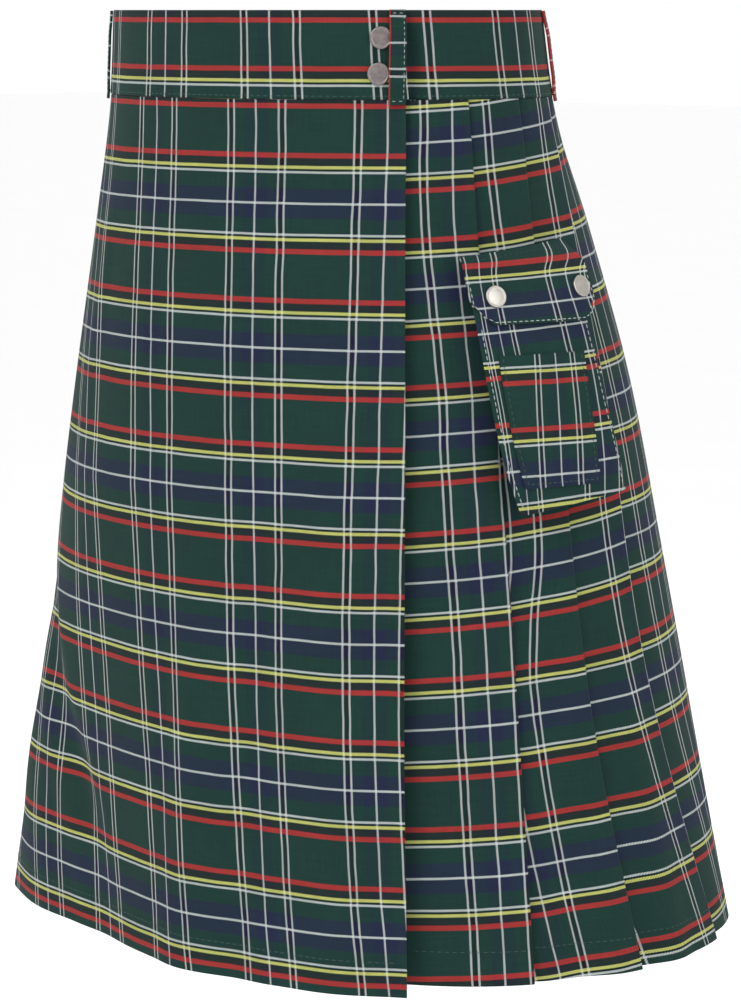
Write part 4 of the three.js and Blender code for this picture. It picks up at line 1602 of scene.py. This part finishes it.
@dataclass(frozen=True)
class CargoPocket:
    """Bellows pocket at the wearer's left hip: bag, flap, patch and two studs."""
    form: HangingForm
    finishes: Finishes
    cloth: float = 1.0
    bag_top: float = -130
    bag_foot: float = -263
    tilt: float = 10
    clear: float = 1.8
    lean: float = 2.2
    foot_rise: float = 10
    edge_back: float = 1.2
    edge_round: float = 1.0
    bag_rows: int = 44
    front_steps: int = 34
    side_steps: int = 6
    flatness: float = 2.8
    dents: float = 0.4
    pull_from: float = -63.75
    pull: float = 1.6
    flap_top: float = -109
    flap_break: float = -123
    flap_foot: float = -156
    flap_corner: float = 0.13
    flap_slope: float = 8.5
    flap_growth_left: float = 0.7
    flap_growth_right: float = 3.6
    flap_above: float = 2.6
    flap_rows: int = 28
    flap_columns: int = 40
    patch_top: float = -174
    patch_foot: float = -251
    patch_rows: int = 36
    patch_columns: int = 28
    flap_studs: tuple[tuple[str, float, float], ...] = (
        ("stud_flap_left", 65.4, -140.0), ("stud_flap_right", 88.2, -136.6))

    def angle(self, share: float, z: float) -> float:
        """Angle at a share of the pocket's width."""
        return lerp(table_value(POCKET_SIDES, "left", z), table_value(POCKET_SIDES, "right", z), share)

    def front(self, share: float, z: float, lift: float = 0.0) -> Vector:
        """Point on the front of the bag."""
        middle = math.sin(math.pi * clamp(share))
        dent = self.dents * math.sin(9 * share + z * 0.05)
        proud = table_value(POCKET_SIDES, "proud", z) + middle * (dent - self.flatness)
        return self.form.point(self.angle(share, z), z, proud + lift)

    def across(self, grain: tuple[Grain, ...], degrees: float, z: float) -> float:
        """Place across the check at an angle and height. Beyond pull_from the pattern is drawn
        narrower than the modelled cloth, so that no stray line shows left of the patch."""
        across = (degrees - table_value(grain, "line", z)) * table_value(grain, "per_degree", z)
        return across + (self.pull - 1) * min(across - self.pull_from, 0)

    def bag_section(self, z: float, drop: float) -> tuple[list[Vector], list[tuple[float, float]]]:
        """One row of the bag: a gusset, the front and the other gusset.

        Args:
            z: Height at the bag's front left.
            drop: 0 at the bag's mouth and 1 at its foot.

        Returns:
            The points and their places on the check.
        """
        def height(share: float) -> float:
            """Height of this row at a share of the width."""
            return z + self.tilt * drop * (share - 0.35)

        def gusset(share: float, lean: float, out_share: float) -> Vector:
            """Point on a side gusset, from the pleats at 0 to the front's edge at 1."""
            level = height(share)
            proud = table_value(POCKET_SIDES, "proud", level) - self.edge_back
            degrees = self.angle(share, level) + lean * (1 - smooth(out_share, 0.5, 1))
            return self.form.point(degrees, level, lerp(self.clear, proud, out_share))

        points = [gusset(0, self.lean, k / self.side_steps) for k in range(self.side_steps + 1)]
        shares = [lerp(0.012, 0.988, i / self.front_steps) for i in range(self.front_steps + 1)]
        for share in shares:
            near = min(share, 1 - share)
            points.append(self.front(share, height(share), -self.edge_round * (1 - smooth(near, 0, 0.05))))
        points += [gusset(1, -self.lean, 1 - k / self.side_steps) for k in range(self.side_steps + 1)]
        runs = row_arcs(points)
        left, right = runs[self.side_steps], runs[-1 - self.side_steps]
        cloth = []
        for point, run in zip(points, runs):
            share = (run - left) / (right - left)
            weft = table_value(BAG_WEFT, "weft", point.z - 4 * (clamp(share) - 0.5))
            cloth.append((self.across(BAG_GRAIN, self.angle(share, z), z), weft))
        return points, cloth

    def bag(self) -> bpy.types.Object:
        """Builds the bag, whose gusset turns back to the pleats round its sides and foot."""
        rows = []
        for j in range(self.bag_rows + 1):
            drop = j / self.bag_rows
            rows.append(self.bag_section(lerp(self.bag_top, self.bag_foot, drop), drop))
        foot, foot_cloth = rows[-1]
        body = []
        for index, point in enumerate(foot):
            z = point.z + self.foot_rise
            left, right = self.angle(0, z) + self.lean, self.angle(1, z) - self.lean
            body.append(self.form.point(lerp(left, right, index / (len(foot) - 1)), z, self.clear))
        for k in range(1, 6):
            share = k / 5
            points = [near.lerp(far, share) for near, far in zip(foot, body)]
            cloth = [(across, weft + share * 16) for across, weft in foot_cloth]
            rows.append((points, cloth))
        return cloth_sheet("pocket_bag_cloth", [points for points, _ in rows], [cloth for _, cloth in rows],
                           self.cloth, self.finishes.pocket)

    def flap_point(self, share: float, z: float, lift: float = 0.0) -> Vector:
        """Point on the flap, which lies on the pleats and breaks over the bag's mouth."""
        turned = smooth(-z, -self.flap_top, -self.flap_break)
        reach = table_value(POCKET_SIDES, "proud", min(z, self.flap_break)) + self.flap_above
        crown = -self.flatness * math.sin(math.pi * clamp(share)) * turned
        degrees = self.flap_angle(share, z)
        return self.form.point(degrees, z, lerp(self.clear, reach, turned) + crown + lift)

    def flap_angle(self, share: float, z: float) -> float:
        """Angle at a share of the flap's width."""
        return self.angle(share, z) + lerp(-self.flap_growth_left, self.flap_growth_right, share)

    def flap_start(self, share: float) -> float:
        """Height of the flap's seam, which slopes down towards the front."""
        return self.flap_top - self.flap_slope * (1 - share)

    def flap(self) -> bpy.types.Object:
        """Builds the flap, with its lower corners cut off."""
        grid, cloth = [], []
        for j in range(self.flap_rows + 1):
            down = j / self.flap_rows
            cut = self.flap_corner * clamp((down - 0.65) / 0.35)
            shares = [lerp(cut, 1 - cut, i / self.flap_columns) for i in range(self.flap_columns + 1)]
            heights = [lerp(self.flap_start(share), self.flap_foot, down) for share in shares]
            grid.append([self.flap_point(share, z) for share, z in zip(shares, heights)])
            cloth.append([(self.across(FLAP_GRAIN, self.flap_angle(share, z), z),
                           table_value(FLAP_WEFT, "weft", z - 3.5 * (share - 0.5)))
                          for share, z in zip(shares, heights)])
        return cloth_sheet("pocket_flap_cloth", grid, cloth, self.cloth * 1.3, self.finishes.pocket)

    def patch(self) -> bpy.types.Object:
        """Builds the patch that is sewn on the bag's front."""
        grid, cloth = [], []
        lift = self.cloth + self.form.seam
        for j in range(self.patch_rows + 1):
            z = lerp(self.patch_top, self.patch_foot, j / self.patch_rows)
            ends = table_value(PATCH_SIDES, "left", z), table_value(PATCH_SIDES, "right", z)
            shares = [lerp(*ends, i / self.patch_columns) for i in range(self.patch_columns + 1)]
            grid.append([self.front(share, z, lift) for share in shares])
            cloth.append([(self.across(PATCH_GRAIN, self.angle(share, z), z),
                           table_value(BAG_WEFT, "weft", z + 4.8)) for share in shares])
        return cloth_sheet("pocket_patch_cloth", grid, cloth, self.cloth, self.finishes.pocket)

    def stitching(self) -> list[bpy.types.Object]:
        """Sews the bag's and flap's edges in pale thread and the patch in green."""
        pale = StitchRows("pocket_edge_stitches", self.finishes.pale_thread, length=2.6, gap=1.3,
                          thread=0.6)
        green = StitchRows("pocket_patch_stitches", self.finishes.green_thread, length=2.4, gap=1.4)

        def bag_face(share: float, z: float) -> Vector:
            """Outer face of the bag's front."""
            return self.front(share, z, self.cloth / 2)

        def flap_face(share: float, z: float) -> Vector:
            """Outer face of the flap."""
            return self.flap_point(share, z, self.cloth * 0.65)

        def patch_face(share: float, z: float) -> Vector:
            """Outer face of the patch."""
            return self.front(share, z, self.cloth * 1.5 + self.form.seam)

        for share in (0.025, 0.965):
            foot = self.bag_foot + self.tilt * (share - 0.35) + 3
            pale.sew_on(bag_face, [(share, lerp(self.flap_foot - 2, foot, k / 30)) for k in range(31)])
        cut, low, inset = self.flap_corner, self.flap_foot + 1.4, 0.018
        edge = [(inset, self.flap_break - 3), (inset, -144), (cut * 0.55, -151.5), (cut + 0.02, low)]
        edge += [(lerp(cut + 0.02, 0.98 - cut, k / 12), low) for k in range(1, 13)]
        edge += [(1 - cut * 0.55, -151.5), (1 - inset, -144), (1 - inset, self.flap_break - 3)]
        pale.sew_on(flap_face, edge)
        green.sew_on(flap_face, [(k / 20, self.flap_start(k / 20) - 2.5) for k in range(1, 20)])
        inset, top, low = 0.03, self.patch_top - 1, self.patch_foot + 2.5

        def side(name: str, z: float) -> tuple[float, float]:
            """Place just inside the patch's left or right edge."""
            inward = inset if name == "left" else -inset
            return table_value(PATCH_SIDES, name, z) + inward, z

        hem = [side("left", lerp(top, low, k / 10)) for k in range(11)]
        corner, far = side("left", low)[0], side("right", low)[0]
        hem += [(lerp(corner, far, k / 8), low) for k in range(1, 9)]
        hem += [side("right", lerp(low, top, k / 10)) for k in range(1, 11)]
        green.sew_on(patch_face, hem)
        mouth = self.patch_top - 8
        near, far = side("left", mouth)[0], side("right", mouth)[0]
        green.sew_on(patch_face, [(lerp(near, far, k / 8), mouth) for k in range(9)])
        return [pale.finish("pocket_cloth"), green.finish("pocket_cloth")]

    def build(self) -> dict[str, bpy.types.Object]:
        """Builds the whole pocket.

        Returns:
            The pieces by name.
        """
        bag = settle(self.bag(), "pocket_cloth", "pocket_bag")
        flap = settle(self.flap(), "pocket_cloth", "pocket_flap")
        patch = settle(self.patch(), "pocket_cloth", "pocket_patch")
        pieces = {piece.name: piece for piece in (bag, flap, patch)}
        for piece in self.stitching():
            pieces[piece.name] = piece
        for node, degrees, z in self.flap_studs:
            left, right = self.flap_angle(0, z), self.flap_angle(1, z)
            share = (degrees - left) / (right - left)
            face = self.flap_point(share, z, self.cloth * 0.65)
            side = self.flap_point(share + 0.02, z) - self.flap_point(share - 0.02, z)
            down = self.flap_point(share, z - 1) - self.flap_point(share, z + 1)
            outward = down.cross(side).normalized()
            cap = PressStud(node).build(face + outward * 0.2, outward, self.finishes.flap_stud, "flap_stud")
            pieces[cap.name] = cap
        return pieces


# ------------------------------------------------------------------ studio
@dataclass(frozen=True)
class Studio:
    """Pale floor, soft light and the camera."""
    azimuth: float = 40
    distance: float = 2.1
    aside: float = 0.0264
    height: float = 0.026
    pitch: float = 8.357
    lens: float = 120.08
    sensor: float = 36
    floor_z: float = -1.05
    floor_size: float = 60
    ambient: float = 1.0

    def camera(self) -> bpy.types.Object:
        """Sets the camera in front of the wearer's left hip, level with the waist."""
        turn = math.radians(self.azimuth)
        towards = Vector((math.sin(turn), -math.cos(turn), 0))
        right = Vector((math.cos(turn), math.sin(turn), 0))
        tilt = math.radians(self.pitch)
        look = -towards * math.cos(tilt) - Vector((0, 0, math.sin(tilt)))
        data = bpy.data.cameras.new("studio_camera")
        data.lens = self.lens
        data.sensor_width = self.sensor
        data.sensor_fit = "AUTO"
        camera = bpy.data.objects.new("studio_camera", data)
        camera.location = towards * self.distance + right * self.aside + Vector((0, 0, self.height))
        camera.rotation_euler = look.to_track_quat("-Z", "Y").to_euler()
        bpy.context.collection.objects.link(camera)
        bpy.context.scene.camera = camera
        return camera

    def floor(self) -> bpy.types.Object:
        """Lays the pale floor well below the hem."""
        bpy.ops.object.select_all(action="DESELECT")
        bpy.ops.mesh.primitive_plane_add(size=self.floor_size, location=(0, 0, self.floor_z))
        floor = bpy.context.active_object
        floor.name = "studio_floor"
        material, bench, shader = start_material("pale_floor")
        place = bench.add("ShaderNodeTexCoord").outputs["Object"]
        grain = bench.noise(place, 3, 2)
        pale = bench.mix(grain, srgb(250, 250, 250), srgb(253, 253, 253))
        bench.tree.links.new(pale, shader.inputs["Base Color"])
        shader.inputs["Roughness"].default_value = 0.9
        floor.data.materials.append(material)
        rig.stage(floor)
        return floor

    def light(self, name: str, place: Vector, size: float, power: float) -> bpy.types.Object:
        """Adds a soft square light that faces the middle of the skirt.

        Args:
            name: The light's name.
            place: Where it stands, in metres.
            size: Its side in metres.
            power: Its power in watts.

        Returns:
            The light.
        """
        data = bpy.data.lights.new(name, "AREA")
        data.size = size
        data.energy = power
        light = bpy.data.objects.new(name, data)
        light.location = place
        light.rotation_euler = (Vector((0, 0, -0.28)) - place).to_track_quat("-Z", "Y").to_euler()
        bpy.context.collection.objects.link(light)
        return light

    def build(self) -> None:
        """Builds the camera, floor, lights and surroundings."""
        self.camera()
        self.floor()
        self.light("key_light", Vector((-0.2, -2.6, 1.7)), 1.6, 42)
        self.light("side_light", Vector((2.6, -0.5, 0.9)), 1.4, 20)
        self.light("back_light", Vector((-1.2, 2.6, 1.6)), 1.8, 24)
        world = bpy.data.worlds.new("studio")
        world.use_nodes = True
        background = world.node_tree.nodes["Background"]
        background.inputs["Color"].default_value = (1, 1, 1, 1)
        background.inputs["Strength"].default_value = self.ambient
        bpy.context.scene.world = world
        bpy.context.scene.view_settings.view_transform = "Standard"


# ------------------------------------------------------------------ the kilt
def declare_cloth(pieces: dict[str, bpy.types.Object]) -> None:
    """States the cut of every sheet of cloth and what it hangs on.

    Args:
        pieces: All the pieces by name.
    """
    loops = [piece for name, piece in pieces.items() if name.startswith("strap_")]
    band = ["band_front", "band_back"]
    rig.sheet(pieces["cloth_apron"], flat=(0.47, 0.53), area=0.2, held="hung", rests_on=["band_front"])
    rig.sheet(pieces["cloth_under_apron"], flat=(0.33, 0.52), area=0.14, held="hung",
             rests_on=["band_under"])
    for side in ("left", "back", "right"):
        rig.sheet(pieces[f"cloth_pleats_{side}"], flat=(0.45, 0.53), held="folded", rests_on=band)
    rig.sheet(pieces["band_front"], flat=(0.27, 0.052), held="stretched", rests_on=["cloth_apron"])
    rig.sheet(pieces["band_back"], flat=(0.55, 0.052), held="stretched", rests_on=["cloth_pleats_back"],
             with_pieces=loops)
    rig.sheet(pieces["band_under"], flat=(0.24, 0.052), held="stretched", rests_on=["cloth_under_apron"])
    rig.sheet(pieces["pocket_bag_cloth"], flat=(0.12, 0.145), held="folded", rests_on=["cloth_pleats_left"])
    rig.sheet(pieces["pocket_flap_cloth"], flat=(0.085, 0.052), held="hung", rests_on=["cloth_pleats_left"])
    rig.sheet(pieces["pocket_patch_cloth"], flat=(0.062, 0.078), held="stretched",
             rests_on=["pocket_bag_cloth"])


def waist_studs(band: Waistband) -> dict[str, bpy.types.Object]:
    """Sets the two studs that fasten the front band over the back one.

    Args:
        band: The band that carries them.

    Returns:
        The caps by name.
    """
    pieces = {}
    for node, degrees, z in (("stud_waist_upper", 47.9, 10.0), ("stud_waist_lower", 46.7, -11.0)):
        face = band.form.point(degrees, z, band.out(degrees) + band.thickness / 2 + 0.3)
        ahead = band.form.point(degrees + 1, z, band.out(degrees + 1))
        behind = band.form.point(degrees - 1, z, band.out(degrees - 1))
        below = band.form.point(degrees, z - 3, 0) - band.form.point(degrees, z + 3, 0)
        outward = below.cross(ahead - behind).normalized()
        cap = PressStud(node).build(face, outward, band.finishes.waist_stud, "waist_stud")
        pieces[cap.name] = cap
    return pieces


def main() -> None:
    """Builds the studio and the kilt, piece by piece, and writes its size."""
    logging.basicConfig(level=logging.INFO, format="%(message)s")
    Studio().build()
    form = HangingForm()
    finishes = Finishes()
    pleats = Pleats(form, finishes)
    aprons = Aprons(form, finishes, pleats)
    band = Waistband(form, finishes)
    pocket = CargoPocket(form, finishes)
    pieces: dict[str, bpy.types.Object] = {}
    for part in (aprons, pleats, band, pocket):
        logger.info("building %s", type(part).__name__)
        pieces.update(part.build())
    pieces.update(waist_studs(band))
    declare_cloth(pieces)
    sizes = {"cad": [list(corner) for corner in CAD_BOX],
             "visual": [list(corner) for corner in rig.bounds()]}
    with open("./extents.json", "w") as file:
        json.dump(sizes, file)
    logger.info("sizes %s", sizes)


if __name__ == "__main__":
    main()
